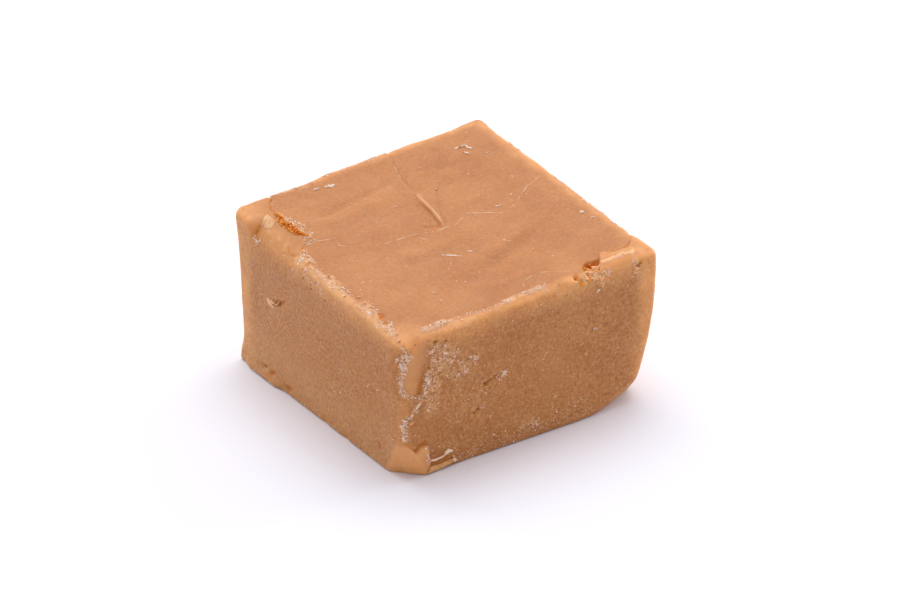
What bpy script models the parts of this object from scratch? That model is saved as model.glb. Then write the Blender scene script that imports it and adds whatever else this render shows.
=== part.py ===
"""A hand-cut block of peanut butter fudge, standing on its flat foot.

The form is worked out in millimetres and put into the mesh in metres. Z is up and the origin
is the middle of the foot. The four corners are called front (-X -Y), right (+X -Y),
left (-X +Y) and back (+X +Y): the block stands corner-on to whoever looks at it, so the wall
at -X is the left wall and the wall at -Y is the right wall.
"""

import bmesh
import bpy
import numpy as np

MM = 0.001

# Block
WIDTH = 36.0
DEPTH = 36.0
NOMINAL_HEIGHT = 20.0
CORNER_HEIGHT = {"front": 17.9, "right": 19.3, "left": 20.4, "back": 23.2}
FOOT_SHIFT_X = {"front": 0.3, "right": -0.55, "left": 0.05, "back": 0.0}
FOOT_SHIFT_Y = {"front": 0.55, "right": -0.45, "left": -0.5, "back": 0.0}

# Edges
UPRIGHT_ROUND = {"front": 1.3, "right": 1.0, "left": 1.6, "back": 1.6}
TOP_ROUND = 1.1
FOOT_ROUND = 0.35
UPRIGHT_FADE = 4.0

# Width of the outer band of the underside that keeps small faces
FOOT_BAND = 0.9

# Low right corner, pressed in to two leaning faces: the way each faces in plan (degrees from +X
# towards -Y), how far out it stands at the foot, how much it leans out per millimetre of height,
# and how soft its borders are
KNOCKS = ((31.3, 21.9, 0.244, 0.5), (69.5, 20.05, 0.786, 0.35))

# Lines of the surface: where they are (mm) and how far apart they are there (mm)
LINES_X = ((-18, 0.5), (-16.6, 0.5), (-13.8, 0.5), (-12, 2.1), (-3, 2.1), (-1.6, 0.7), (1.6, 0.7),
           (4, 2.0), (7.5, 1.2), (8.5, 0.7), (15, 0.8), (17, 0.6), (18, 0.5))
LINES_Y = ((-18, 0.5), (-16.6, 0.5), (-15, 0.8), (-12.5, 2.1), (-2, 2.0), (0, 1.0), (13, 1.2),
           (15, 1.3), (17, 0.6), (18, 0.5))
LINES_Z = ((0, 0.4), (1.2, 0.7), (4.5, 0.6), (7, 1.3), (15, 1.3), (18.4, 0.6), (20, 0.4))

# Hollows and swells of the top: middle x, y, reach and height
TOP_SWELLS = ((-8.1, -11.1, 4.5, -0.25), (7.5, -10.5, 4.0, -0.2), (5.9, 9.4, 4.5, -0.25),
              (-9.0, 9.0, 5.0, 0.15), (12.5, 3.0, 5.0, 0.15), (4.8, -17.2, 2.2, 0.3))

# Fold pressed into the top: its crest runs to a tip in the middle of the block
FOLD_CREST = ((1.5, 8.2), (0.7, 5.6), (0.6, 3.0), (0.0, 0.0))
FOLD_HEIGHT = 0.2
FOLD_CREST_REACH = 0.4
FOLD_SLOPE_REACH = 2.2
FOLD_GROOVE = 0.4
FOLD_GROOVE_AT = 0.75
FOLD_GROOVE_REACH = 0.5

# Crease that runs from the fold to the back
CREASE = ((1.2, 8.0), (1.6, 10.2), (2.6, 14.2), (4.0, 17.6))
CREASE_DEPTH = 0.15
CREASE_REACH = 0.5

# Every crack, pocket and pit: its floor ends and its rim begins at these shares of its reach
HOLLOW_FLOOR = 0.25
HOLLOW_RIM = 1.35

# Crack behind the torn ledge at the left, and the ledge between it and the wall
CRACK = ((-14.8, 12.8), (-15.2, 10.8), (-15.1, 9.2), (-14.9, 7.8), (-14.4, 6.8))
CRACK_REACH = 0.6
CRACK_DEPTH = 1.5
SEAM_LEFT = ((-13.3, 18.0), (-13.6, 16.4), (-14.8, 14.5), (-14.8, 12.8))
SEAM_DEPTH = 0.35
SEAM_REACH = 0.35
LEDGE_FROM = 4.2
LEDGE_TO = 13.4
LEDGE_EDGE = -15.5
LEDGE_FADE = 0.7
LEDGE_DROP = 0.45

# Crumbled pocket at the right, small hole beside it, and holes on the left rim near the front
# corner: x, y, reach and depth
POCKETS = ((9.2, -16.6, 1.1, 1.3), (10.3, -16.2, 0.8, 0.8), (6.5, -17.9, 0.55, 0.6),
           (-16.4, -11.8, 0.6, 0.7), (-16.9, -13.6, 0.45, 0.5))

# Seam behind the raised flake
SEAM_RIGHT = ((12.2, -15.7), (13.4, -15.6), (15.4, -15.3), (16.4, -14.5), (17.1, -13.4),
              (18.2, -12.9))

# Bites out of the two far edges of the top: place along the edge, reach and depth
BITES_BACK_RIGHT = ((2.2, 1.6, 0.45), (-9.5, 4.0, 0.6), (-13.4, 0.6, 0.5))
BITES_BACK_LEFT = ((-9.5, 3.0, 0.45), (2.8, 1.4, 0.35))
BITE_BELOW = 4.0

# Thumb-wide scoop down the front edge: it gets deeper towards its foot
SCOOP_X = -15.6
SCOOP_REACH = 1.1
SCOOP_TOP = 16.2
SCOOP_DEEPEST = 11.2
SCOOP_FOOT = 10.0
SCOOP_DEPTH = 0.75

# Tongue pressed down over the foot of the front edge
TONGUE_TO = -14.2
TONGUE_HEIGHT = 3.8
TONGUE_FADE = 0.3
TONGUE_SWELL = 0.6

# Lip squeezed out along the foot of the left wall, and the nick where it ends
LIP_Y = 11.8
LIP_REACH = 4.8
LIP_HEIGHT = 1.1
LIP_SWELL = 0.5
NICK_Y = 6.4
NICK_REACH = 0.7
NICK_HEIGHT = 1.0
NICK_DEPTH = 0.45

# Pits in the walls: place along the wall, height, half length, half height, depth
PITS_LEFT = ((7.3, 12.0, 0.65, 0.6, 0.5), (-13.1, 2.7, 0.35, 0.6, 0.3), (-17.2, 15.3, 0.4, 0.5, 0.4),
             (-17.1, 13.4, 0.4, 0.4, 0.35), (-17.0, 9.8, 0.4, 0.7, 0.35), (-16.9, 6.0, 0.4, 0.6, 0.3))
PITS_RIGHT = ((-6.4, 9.5, 0.6, 0.45, 0.5), (-5.3, 9.9, 0.5, 0.4, 0.4), (-7.6, 6.0, 0.45, 0.35, 0.35))
PITS_BACK_LEFT = ((-6.0, 13.5, 0.9, 0.6, 0.4), (8.5, 6.5, 0.7, 0.7, 0.4), (12.0, 17.0, 1.1, 0.5, 0.35))
PITS_BACK_RIGHT = ((-3.0, 8.0, 0.8, 0.6, 0.4), (9.0, 15.0, 1.0, 0.6, 0.4))

# Slow unevenness of the cut walls
WALL_WAVE = 0.18
WALL_WAVE_LENGTH = 13.0

# Thin slivers curling out beside the tongue: root and end (x, y, z), width and thickness
SLIVERS = (((-14.9, -17.55, 0.42), (-10.6, -17.7, 0.5), 1.0, 0.62),
           ((-14.7, -17.5, 1.75), (-11.1, -17.75, 2.1), 0.8, 0.4))

# Raised flake beside the pocket: its two ends along the edge, width and thickness
FLAKE = ((11.1, -16.5, 18.9), (15.1, -16.7, 19.1), 1.9, 1.0)

# Thin torn plates: steps along them, how much they taper, thin out, bend and fray at the edges
PLATE_STEPS = 8
PLATE_TAPER = 0.35
PLATE_THINNING = 0.2
PLATE_BEND = 0.2
PLATE_RAGGED = 0.1

# Crumbs that cling to the block: place and size
CRUMBS = ((-16.2, 13.2, 19.9, 1.7), (-15.4, 12.6, 20.0, 1.2), (-16.5, -2.1, 18.8, 1.3),
          (-16.9, -4.3, 18.5, 1.6), (-16.3, -7.2, 18.3, 1.2), (-16.1, -9.5, 18.2, 1.2),
          (-17.6, 9.3, 11.5, 1.6), (-17.2, -17.2, 14.2, 1.2), (-17.2, -17.1, 12.3, 1.1),
          (-17.0, -16.9, 7.2, 1.1), (9.5, -17.2, 17.7, 1.3), (8.3, -17.2, 18.0, 1.1),
          (10.7, -17.3, 18.2, 1.1), (-11.3, -17.6, 2.1, 0.9), (-16.0, 4.4, 19.2, 1.3))
CRUMB_CORNERS = 22
CRUMB_SEED = 7

FUDGE_COLOUR = (0.62, 0.30, 0.12, 1.0)
FUDGE_ROUGHNESS = 0.55


def clear_scene():
    """Remove every object that the scene already holds."""
    for old in list(bpy.data.objects):
        bpy.data.objects.remove(old, do_unlink=True)


def ramp(value, low, high):
    """Rise smoothly from 0 at low to 1 at high."""
    t = np.clip((value - low) / (high - low), 0.0, 1.0)
    return t * t * (3.0 - 2.0 * t)


def hollow(share):
    """1 on the floor of a hollow, 0 outside its rim, by the share of the way from middle to rim."""
    return 1.0 - ramp(share, HOLLOW_FLOOR, HOLLOW_RIM)


def hill(distance, reach):
    """Bell that is 1 at no distance and nearly 0 at twice its reach."""
    return np.exp(-((distance / reach) ** 2))


def spaced_lines(stops):
    """Places of the lines between the first and the last stop, as far apart as the stops say."""
    places = np.linspace(stops[0][0], stops[-1][0], 4000)
    spacing = np.interp(places, [stop[0] for stop in stops], [stop[1] for stop in stops])
    passed = np.concatenate([[0.0], np.cumsum(np.diff(places) / spacing[1:])])
    count = int(np.ceil(passed[-1]))
    return np.interp(np.linspace(0.0, passed[-1], count + 1), passed, places)


def squares(numbers, turned=False):
    """Four-cornered faces between rows and columns of point numbers, where -1 is no point."""
    corners = (numbers[:-1, :-1], numbers[1:, :-1], numbers[1:, 1:], numbers[:-1, 1:])
    faces = np.stack(corners, axis=-1).reshape(-1, 4)
    faces = faces[(faces >= 0).all(axis=1)]
    return faces[:, ::-1] if turned else faces


def box_skin(x, y, z, band):
    """Points and faces of a closed box with lines at x, y and z.

    The underside keeps its outer `band` rows of squares and is one face inside them.
    """
    i, j, k = np.indices((len(x), len(y), len(z)))
    from_edge = np.minimum(np.minimum(i, len(x) - 1 - i), np.minimum(j, len(y) - 1 - j))
    skin = (from_edge == 0) | (k == len(z) - 1) | ((k == 0) & (from_edge <= band))
    ids = np.full(i.shape, -1)
    ids[skin] = np.arange(skin.sum())
    points = np.stack([x[i[skin]], y[j[skin]], z[k[skin]]], axis=1)
    sheets = [squares(ids[:, :, -1]), squares(ids[:, :, 0], turned=True),
              squares(ids[:, 0, :]), squares(ids[:, -1, :], turned=True),
              squares(ids[0, :, :], turned=True), squares(ids[-1, :, :])]
    faces = np.concatenate(sheets).tolist()
    inner = ids[band:len(x) - band, band:len(y) - band, 0]
    if inner.size:
        loop = np.concatenate([inner[:-1, 0], inner[-1, :-1], inner[:0:-1, -1], inner[0, :0:-1]])
        faces.append(loop[::-1].tolist())
    return points, faces


def corner_mix(corners, across, away):
    """Mix four corner values by how far across and how far away a point lies, both 0 to 1."""
    near = corners["front"] * (1 - across) + corners["right"] * across
    far = corners["left"] * (1 - across) + corners["back"] * across
    return near * (1 - away) + far * away


def rounded(points):
    """Points of a sharp box pulled onto the same box with rounded edges, and their outward direction."""
    half = np.array([WIDTH / 2, DEPTH / 2, NOMINAL_HEIGHT / 2])
    centred = points - [0.0, 0.0, half[2]]
    across = centred[:, 0] / WIDTH + 0.5
    away = centred[:, 1] / DEPTH + 0.5
    high = ramp(points[:, 2], NOMINAL_HEIGHT - UPRIGHT_FADE, NOMINAL_HEIGHT - FOOT_ROUND)
    low = 1.0 - ramp(points[:, 2], FOOT_ROUND, UPRIGHT_FADE)
    radius = corner_mix(UPRIGHT_ROUND, across, away) * (1 - high) * (1 - low)
    radius = (radius + TOP_ROUND * high + FOOT_ROUND * low)[:, None]
    core = np.clip(centred, radius - half, half - radius)
    outward = centred - core
    outward /= np.maximum(np.linalg.norm(outward, axis=1), 1e-9)[:, None]
    return core + outward * radius + [0.0, 0.0, half[2]], outward


def leaned(points):
    """Give each corner its own height and shift the foot under it."""
    across = points[:, 0] / WIDTH + 0.5
    away = points[:, 1] / DEPTH + 0.5
    rise = points[:, 2] / NOMINAL_HEIGHT
    out = points.copy()
    out[:, 2] = rise * corner_mix(CORNER_HEIGHT, across, away)
    out[:, 0] += (1 - rise) * corner_mix(FOOT_SHIFT_X, across, away)
    out[:, 1] += (1 - rise) * corner_mix(FOOT_SHIFT_Y, across, away)
    return out


def knocked_off(points):
    """Press the low right corner in to its leaning faces, with soft borders."""
    out = points.copy()
    for degrees, reach, lean, softness in KNOCKS:
        direction = np.array([np.cos(np.radians(degrees)), -np.sin(np.radians(degrees))])
        beyond = out[:, :2] @ direction - (reach + lean * out[:, 2])
        press = softness * np.logaddexp(0.0, beyond / softness)
        out[:, :2] -= press[:, None] * direction
    return out


def along(points, path):
    """Distance to a path in the plane, share of the path passed, and on which side of it a point is."""
    path = np.array(path, float)
    lengths = np.linalg.norm(np.diff(path, axis=0), axis=1)
    start = np.concatenate([[0.0], np.cumsum(lengths)])
    best = np.full(len(points), np.inf)
    share = np.zeros(len(points))
    side = np.zeros(len(points))
    for n, length in enumerate(lengths):
        step = (path[n + 1] - path[n]) / length
        from_start = points - path[n]
        t = np.clip(from_start @ step, 0.0, length)
        off = from_start - t[:, None] * step
        distance = np.linalg.norm(off, axis=1)
        nearer = distance < best
        best = np.where(nearer, distance, best)
        share = np.where(nearer, (start[n] + t) / start[-1], share)
        side = np.where(nearer, np.sign(step[0] * from_start[:, 1] - step[1] * from_start[:, 0]), side)
    return best, share, side


def top_relief(points):
    """Height added to the top by its swells, fold, crease, seams, ledge and crack."""
    plan = points[:, :2]
    height = np.zeros(len(points))
    for x, y, reach, rise in TOP_SWELLS:
        height += rise * hill(np.hypot(plan[:, 0] - x, plan[:, 1] - y), reach)
    distance, share, side = along(plan, FOLD_CREST)
    slope = FOLD_HEIGHT * (1.0 - ramp(distance, 0.0, FOLD_SLOPE_REACH))
    groove = FOLD_GROOVE * hill(distance - FOLD_GROOVE_AT, FOLD_GROOVE_REACH)
    fold = np.where(side > 0, slope, slope * hill(distance, FOLD_CREST_REACH) - groove)
    height += ramp(share, 0.0, 0.45) * fold
    distance, _, _ = along(plan, CREASE)
    height -= CREASE_DEPTH * hill(distance, CREASE_REACH)
    for path in (SEAM_LEFT, SEAM_RIGHT):
        distance, _, _ = along(plan, path)
        height -= SEAM_DEPTH * hill(distance, SEAM_REACH)
    distance, _, _ = along(plan, CRACK)
    height -= CRACK_DEPTH * hollow(distance / CRACK_REACH)
    on_ledge = ramp(plan[:, 1], LEDGE_FROM, LEDGE_FROM + 2 * LEDGE_FADE)
    on_ledge *= 1.0 - ramp(plan[:, 1], LEDGE_TO - 2 * LEDGE_FADE, LEDGE_TO)
    on_ledge *= 1.0 - ramp(plan[:, 0], LEDGE_EDGE - LEDGE_FADE, LEDGE_EDGE + LEDGE_FADE)
    height -= LEDGE_DROP * on_ledge
    for x, y, reach, depth in POCKETS:
        distance = np.hypot(plan[:, 0] - x, plan[:, 1] - y)
        height -= depth * hollow(distance / reach)
    return height


def pits(place, height, holes):
    """Depth of the pits in one wall."""
    depth = np.zeros(len(place))
    for middle, level, half_length, half_height, deepest in holes:
        distance = np.hypot((place - middle) / half_length, (height - level) / half_height)
        depth += deepest * hollow(distance)
    return depth


def bites(place, height, top, holes):
    """Depth of the bites out of an upper edge, fading down the wall."""
    depth = np.zeros(len(place))
    for middle, reach, deepest in holes:
        depth += deepest * hill(place - middle, reach)
    return depth * ramp(height, top - BITE_BELOW, top - FOOT_ROUND)


def wave(points, phase):
    """Slow unevenness between -1 and 1."""
    turn = 2.0 * np.pi / WALL_WAVE_LENGTH
    x, y, z = points.T
    return (np.sin(turn * (x + 0.4 * z) + phase) + np.sin(turn * (0.9 * y - 0.7 * z) + 1.7 * phase)
            + np.sin(turn * 1.3 * (z + 0.3 * x - 0.2 * y) + 2.3 * phase)) / 3.0


def wall_relief(points, outward):
    """Inward depth of each wall at every point, as one array for each of the walls."""
    x, y, z = points.T
    left = np.clip(-outward[:, 0], 0.0, 1.0)
    right = np.clip(-outward[:, 1], 0.0, 1.0)
    back_right = np.clip(outward[:, 0], 0.0, 1.0)
    back_left = np.clip(outward[:, 1], 0.0, 1.0)
    top = corner_mix(CORNER_HEIGHT, x / WIDTH + 0.5, y / DEPTH + 0.5)
    above_foot = ramp(z, 0.0, 2 * FOOT_BAND)

    lip = LIP_SWELL * (1.0 - ramp(np.abs(y - LIP_Y), 0.5 * LIP_REACH, LIP_REACH))
    lip *= 1.0 - ramp(z, 0.5 * LIP_HEIGHT, 1.5 * LIP_HEIGHT)
    nick = NICK_DEPTH * hill(y - NICK_Y, NICK_REACH) * hill(z, NICK_HEIGHT)
    left_in = pits(y, z, PITS_LEFT) + nick - lip + WALL_WAVE * wave(points, 0.5) * above_foot

    scoop = hollow(np.abs(x - SCOOP_X) / SCOOP_REACH)
    scoop *= ramp(SCOOP_TOP - z, 0.0, SCOOP_TOP - SCOOP_DEEPEST) * ramp(z, SCOOP_FOOT, SCOOP_DEEPEST)
    tongue = 1.0 - ramp(x, TONGUE_TO - TONGUE_FADE, TONGUE_TO + TONGUE_FADE)
    tongue *= 1.0 - ramp(z, TONGUE_HEIGHT - TONGUE_FADE, TONGUE_HEIGHT + TONGUE_FADE)
    right_in = pits(x, z, PITS_RIGHT) + SCOOP_DEPTH * scoop - TONGUE_SWELL * tongue
    right_in += WALL_WAVE * wave(points, 2.1) * above_foot * ramp(x, SCOOP_X, TONGUE_TO)

    back_right_in = pits(y, z, PITS_BACK_RIGHT) + bites(y, z, top, BITES_BACK_RIGHT)
    back_right_in += WALL_WAVE * wave(points, 3.9) * above_foot
    back_left_in = pits(x, z, PITS_BACK_LEFT) + bites(x, z, top, BITES_BACK_LEFT)
    back_left_in += WALL_WAVE * wave(points, 5.2) * above_foot
    return left * left_in - back_right * back_right_in, right * right_in - back_left * back_left_in


def block_points(points):
    """Sharp box to finished block: rounded, leaned, knocked off, then carved. The foot stays flat."""
    points, outward = rounded(points)
    shaped = knocked_off(leaned(points))
    raised = top_relief(shaped) * ramp(outward[:, 2], 0.0, 0.8)
    in_x, in_y = wall_relief(shaped, outward)
    shaped[:, 0] += in_x
    shaped[:, 1] += in_y
    shaped[:, 2] += raised
    return shaped


def solid_of(name, points, faces):
    """Closed object from millimetre points, faces out."""
    mesh = bpy.data.meshes.new(name)
    mesh.from_pydata((np.asarray(points) * MM).tolist(), [], faces)
    mesh.update()
    built = bmesh.new()
    built.from_mesh(mesh)
    bmesh.ops.triangulate(built, faces=built.faces)
    bmesh.ops.recalc_face_normals(built, faces=built.faces)
    built.to_mesh(mesh)
    built.free()
    solid = bpy.data.objects.new(name, mesh)
    bpy.context.scene.collection.objects.link(solid)
    return solid


def fudge_body():
    """The block itself."""
    x = spaced_lines(LINES_X)
    y = spaced_lines(LINES_Y)
    z = spaced_lines(LINES_Z)
    band = int(np.searchsorted(x, FOOT_BAND - WIDTH / 2))
    points, faces = box_skin(x, y, z, band)
    return solid_of("fudge_block", block_points(points), faces)


def plate(name, start, end, width, thickness):
    """Thin torn plate from start to end, bent a little and ragged at its far end."""
    start = np.array(start, float)
    end = np.array(end, float)
    steps = np.linspace(0.0, 1.0, PLATE_STEPS)
    across = np.linspace(-0.5, 0.5, 4)
    up = np.array([-0.5, 0.5])
    points, faces = box_skin(steps, across, up, len(steps))
    run = end - start
    side = np.cross([0.0, 0.0, 1.0], run)
    side /= np.linalg.norm(side)
    rise = np.cross(run, side) / np.linalg.norm(run)
    t, a, u = points.T
    ragged = t * (1.0 + PLATE_RAGGED * np.sin(9.0 * a + 4.0 * u))
    sideways = a * width * (1.0 - PLATE_TAPER * t + PLATE_RAGGED * np.sin(11.0 * t))
    upward = thickness * (u * (1.0 - PLATE_THINNING * t) + PLATE_BEND * np.sin(np.pi * t))
    placed = start + ragged[:, None] * run + sideways[:, None] * side + upward[:, None] * rise
    return solid_of(name, placed, faces)


def crumb(name, place, size, draw):
    """Angular lump: the hull of points strewn unevenly round its place."""
    ways = draw.normal(size=(CRUMB_CORNERS, 3))
    ways /= np.linalg.norm(ways, axis=1)[:, None]
    reach = 0.5 * size * draw.uniform(0.75, 1.0, (CRUMB_CORNERS, 1)) * draw.uniform(0.7, 1.1, 3)
    mesh = bpy.data.meshes.new(name)
    built = bmesh.new()
    for corner in place + ways * reach:
        built.verts.new(corner * MM)
    hull = bmesh.ops.convex_hull(built, input=built.verts)
    bmesh.ops.delete(built, geom=hull["geom_interior"], context="VERTS")
    built.to_mesh(mesh)
    built.free()
    lump = bpy.data.objects.new(name, mesh)
    bpy.context.scene.collection.objects.link(lump)
    return lump


def clinging_pieces():
    """Slivers, raised flake and crumbs, each a closed solid that reaches into the block."""
    pieces = [plate(f"sliver_{n}", *sliver) for n, sliver in enumerate(SLIVERS)]
    pieces.append(plate("raised_flake", *FLAKE))
    draw = np.random.default_rng(CRUMB_SEED)
    for n, (x, y, z, size) in enumerate(CRUMBS):
        pieces.append(crumb(f"crumb_{n}", (x, y, z), size, draw))
    return pieces


def join_to(body, pieces):
    """Make the pieces and the body one solid by a union, and drop the pieces."""
    loose = bpy.data.collections.new("clinging")
    bpy.context.scene.collection.children.link(loose)
    for piece in pieces:
        loose.objects.link(piece)
    union = body.modifiers.new("clinging", "BOOLEAN")
    union.operation = "UNION"
    union.operand_type = "COLLECTION"
    union.collection = loose
    union.solver = "EXACT"
    bpy.context.view_layer.objects.active = body
    bpy.ops.object.modifier_apply(modifier=union.name)
    for piece in pieces:
        bpy.data.objects.remove(piece, do_unlink=True)
    bpy.data.collections.remove(loose)


def fudge_material():
    """Matt tan fudge."""
    material = bpy.data.materials.new("fudge")
    material.use_nodes = True
    shader = material.node_tree.nodes["Principled BSDF"]
    shader.inputs["Base Color"].default_value = FUDGE_COLOUR
    shader.inputs["Roughness"].default_value = FUDGE_ROUGHNESS
    shader.inputs["Metallic"].default_value = 0.0
    return material


def main():
    """Build the block as one solid with one material."""
    clear_scene()
    block = fudge_body()
    join_to(block, clinging_pieces())
    block.data.materials.clear()
    block.data.materials.append(fudge_material())


main()
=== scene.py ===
"""Looks of a hand-cut block of peanut butter fudge: its fine surface, crumbs, crystals and studio.

Lengths are millimetres until a mesh is made. Z is up and the block's foot is at 0. Its corners are
front (-X -Y), right (+X -Y), left (-X +Y) and back (+X +Y), its walls left (-X), right (-Y),
back_right (+X) and back_left (+Y).
"""

import bpy
import numpy as np
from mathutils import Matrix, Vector


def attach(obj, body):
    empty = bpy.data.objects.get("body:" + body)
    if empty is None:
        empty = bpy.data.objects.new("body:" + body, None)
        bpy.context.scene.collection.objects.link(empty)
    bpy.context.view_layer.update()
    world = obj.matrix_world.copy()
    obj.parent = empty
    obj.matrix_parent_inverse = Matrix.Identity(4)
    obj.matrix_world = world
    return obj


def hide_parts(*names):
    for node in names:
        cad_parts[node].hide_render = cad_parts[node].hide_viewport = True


MM = 0.001

# Block, as the solid has it: its corners' heights, how far its foot is shifted under each corner, and
# how its edges are rounded
WIDTH = 36.0
DEPTH = 36.0
NOMINAL_HEIGHT = 20.0
CORNER_HEIGHT = {"front": 17.9, "right": 19.3, "left": 20.4, "back": 23.2}
FOOT_SHIFT_X = {"front": 0.3, "right": -0.55, "left": -0.15, "back": 0.0}
FOOT_SHIFT_Y = {"front": 0.55, "right": -0.45, "left": -0.5, "back": 0.0}
UPRIGHT_ROUND = {"front": 1.3, "right": 1.0, "left": 1.6, "back": 1.6}
UPRIGHT_FADE = 4.0
TOP_ROUND = 1.1
FOOT_ROUND = 0.35

# Leaning faces knocked into the block: direction in degrees, reach at the foot, lean and softness;
# two at the low right corner and one at the foot of the front edge
KNOCKS = ((31.3, 21.9, 0.244, 0.5), (69.5, 20.05, 0.786, 0.35), (133.9, 22.75, 0.365, 0.16))

# Front edge planed off over a stretch of its height: direction in degrees, reach, from, to, softness
PLANED_TURN = 138.0
PLANED_REACH = 24.15
PLANED_FROM = 10.6
PLANED_TO = 17.6
PLANED_SOFTNESS = 0.25

# Lines of the fine surface: where they are and how far apart they are there
LINES_X = ((-18, 0.14), (-15.5, 0.15), (-13.5, 0.15), (-9, 0.18), (-5, 0.25), (-2.5, 0.22), (-1, 0.12),
           (1.8, 0.12), (3, 0.26), (6, 0.28), (8, 0.17), (15.5, 0.17), (18, 0.17))
LINES_Y = ((-18, 0.14), (-14.5, 0.16), (-13, 0.35), (-1.5, 0.35), (0, 0.23), (5, 0.21), (8, 0.21),
           (9, 0.22), (14, 0.22), (16.5, 0.26), (18, 0.15))
LINES_Z = ((0, 0.17), (1, 0.19), (4.5, 0.23), (6, 0.3), (10, 0.28), (14, 0.21), (18, 0.17), (20, 0.15))

# Rows of squares that the underside keeps round its border
FOOT_BAND = 3

# Slow unevenness of the surface: size and height of each layer
UNEVEN = ((11.0, 0.16), (4.5, 0.08), (1.7, 0.03), (0.6, 0.012))

# Hollows and swells of the top: middle x, y, reach and height
TOP_SWELLS = ((-8.1, -11.1, 4.5, -0.2), (7.5, -10.5, 4.0, -0.14), (5.9, 9.4, 4.5, -0.2),
              (-9.0, 9.0, 5.0, 0.12), (12.5, 3.0, 5.0, 0.12), (4.6, -17.0, 2.2, 0.3),
              (10.5, -1.5, 2.2, -0.1), (-2.5, -9.0, 3.0, 0.08), (-15.6, 3.0, 1.6, 0.12),
              (-17.6, -17.6, 2.4, -0.45))

# Soft valleys and ridges that paper left across the top: path, reach and height
TOP_VALLEYS = ((((-12.3, 9.4), (-7.2, 10.1), (-2.3, 11.0), (1.9, 11.9)), 0.7, -0.3),
               (((-12.0, 7.4), (-7.0, 7.9), (-2.5, 8.8)), 1.1, 0.24),
               (((8.0, -7.2), (3.1, -9.1), (-1.5, -10.6), (-5.4, -12.2)), 0.9, -0.34),
               (((10.0, -4.9), (4.6, -6.9), (-0.5, -8.7)), 1.1, 0.28),
               (((16.6, 11.8), (9.7, 6.7), (4.1, 2.5)), 1.2, -0.3),
               (((14.0, 14.0), (8.0, 10.2), (5.0, 7.6)), 1.0, 0.24),
               (((-9.0, -3.0), (-4.0, -4.0), (2.0, -3.6)), 1.2, 0.22),
               (((-13.0, -9.0), (-9.0, -6.0), (-6.5, -3.5)), 1.1, -0.24),
               (((7.0, -12.0), (11.0, -10.0), (15.0, -8.6)), 1.0, -0.26),
               (((3.0, -13.6), (0.0, -13.9), (-4.0, -14.2)), 0.8, 0.18),
               (((8.9, 15.2), (7.4, 12.4), (6.8, 9.9)), 0.8, -0.24),
               (((12.6, -2.6), (9.0, -3.4), (6.4, -5.0)), 0.8, -0.2))

# Fold in the top: a narrow raised strip with a groove at its left, and a crease at its right that
# meets it at the tip, with a paler wedge between them
FOLD_CREST = ((1.4, 8.0), (0.75, 5.8), (0.5, 3.0), (0.0, 0.2))
FOLD_CREASE = ((5.0, 10.0), (4.5, 8.1), (2.1, 4.4), (0.9, 1.9), (0.0, 0.2))
FOLD_TUCK = ((-2.0, 0.9), (-1.2, 0.55), (-0.4, 0.1))
FOLD_HEIGHT = 0.27
FOLD_GROOVE = 0.15
BACK_CREASE = ((1.2, 8.5), (1.6, 11.0), (2.6, 14.2), (3.2, 15.8), (3.6, 17.8))

# Crack and seam behind the torn ledge at the left
CRACK = ((-14.75, 13.3), (-15.0, 12.2), (-15.1, 11.0), (-15.05, 9.8), (-14.9, 8.4), (-14.5, 7.3),
         (-13.95, 6.9))
CRACK_HALF_WIDTH = 0.3
CRACK_DEPTH = 0.72
SEAM_LEFT = ((-13.2, 18.2), (-13.5, 16.4), (-14.2, 15.8), (-14.8, 14.5), (-14.6, 13.1))
SEAM_RIGHT = ((12.2, -15.7), (13.4, -15.6), (15.4, -15.3), (16.4, -14.5), (17.1, -13.4),
              (18.2, -12.9))
SEAM_DEPTH = 0.4
SEAM_REACH = 0.13

# Ledge smeared down over the left edge: a softly leaning face, the length that it takes up, and the
# thin lip in plan where it ends
LEDGE_FROM = 4.4
LEDGE_TO = 13.6
LEDGE_TILT = 38.0
LEDGE_AT = -16.1
LEDGE_SOFTNESS = 0.45
LEDGE_LIP = ((-16.7, 7.4), (-17.0, 6.5), (-16.8, 5.7), (-16.5, 5.1), (-15.8, 5.7), (-14.7, 6.2))

# Pockets and rim holes in the top: x, y, reach and depth
POCKETS = ((9.25, -15.95, 0.5, 0.9), (10.1, -16.25, 0.5, 0.9), (6.2, -17.5, 0.26, 0.8),
           (6.75, -17.95, 0.24, 0.8), (-16.45, -11.8, 0.42, 0.55), (-16.9, -13.3, 0.26, 0.45))

# Notch crumbled out of the right rim, and the boxy flake raised beside it: their ends slant back to
# the right by RIM_SLANT and are given where they meet the line RIM_LINE in y
RIM_SLANT = 0.72
RIM_LINE = -15.2
NOTCH_FROM = 8.9
NOTCH_TO = 11.25
NOTCH_BACK = -15.6
NOTCH_DEPTH = 0.66
FLAKE_FROM = 11.35
FLAKE_TO = 16.1
FLAKE_BACK = ((10.5, -15.1), (11.7, -15.0), (13.2, -15.6), (15.4, -15.9))
FLAKE_CREST = -17.15
FLAKE_HEIGHT = 0.5

# Bites out of the two far edges of the top: place along the edge, reach and depth
BITES_BACK_RIGHT = ((2.2, 1.6, 0.4), (-9.5, 3.6, 0.55), (-13.4, 0.5, 0.55), (9.6, 0.8, 0.2))
BITES_BACK_LEFT = ((-9.5, 3.0, 0.4), (3.2, 0.6, 0.4), (12.0, 2.2, 0.15))
BITE_BELOW = 4.0

# Scoop down the front edge, on the right wall
SCOOP_FROM = -17.7
SCOOP_TO = -14.9
SCOOP_SLANT = 0.2
SCOOP_TOP = 18.4
SCOOP_FOOT = 10.6
SCOOP_DEPTH = 0.16

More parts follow.
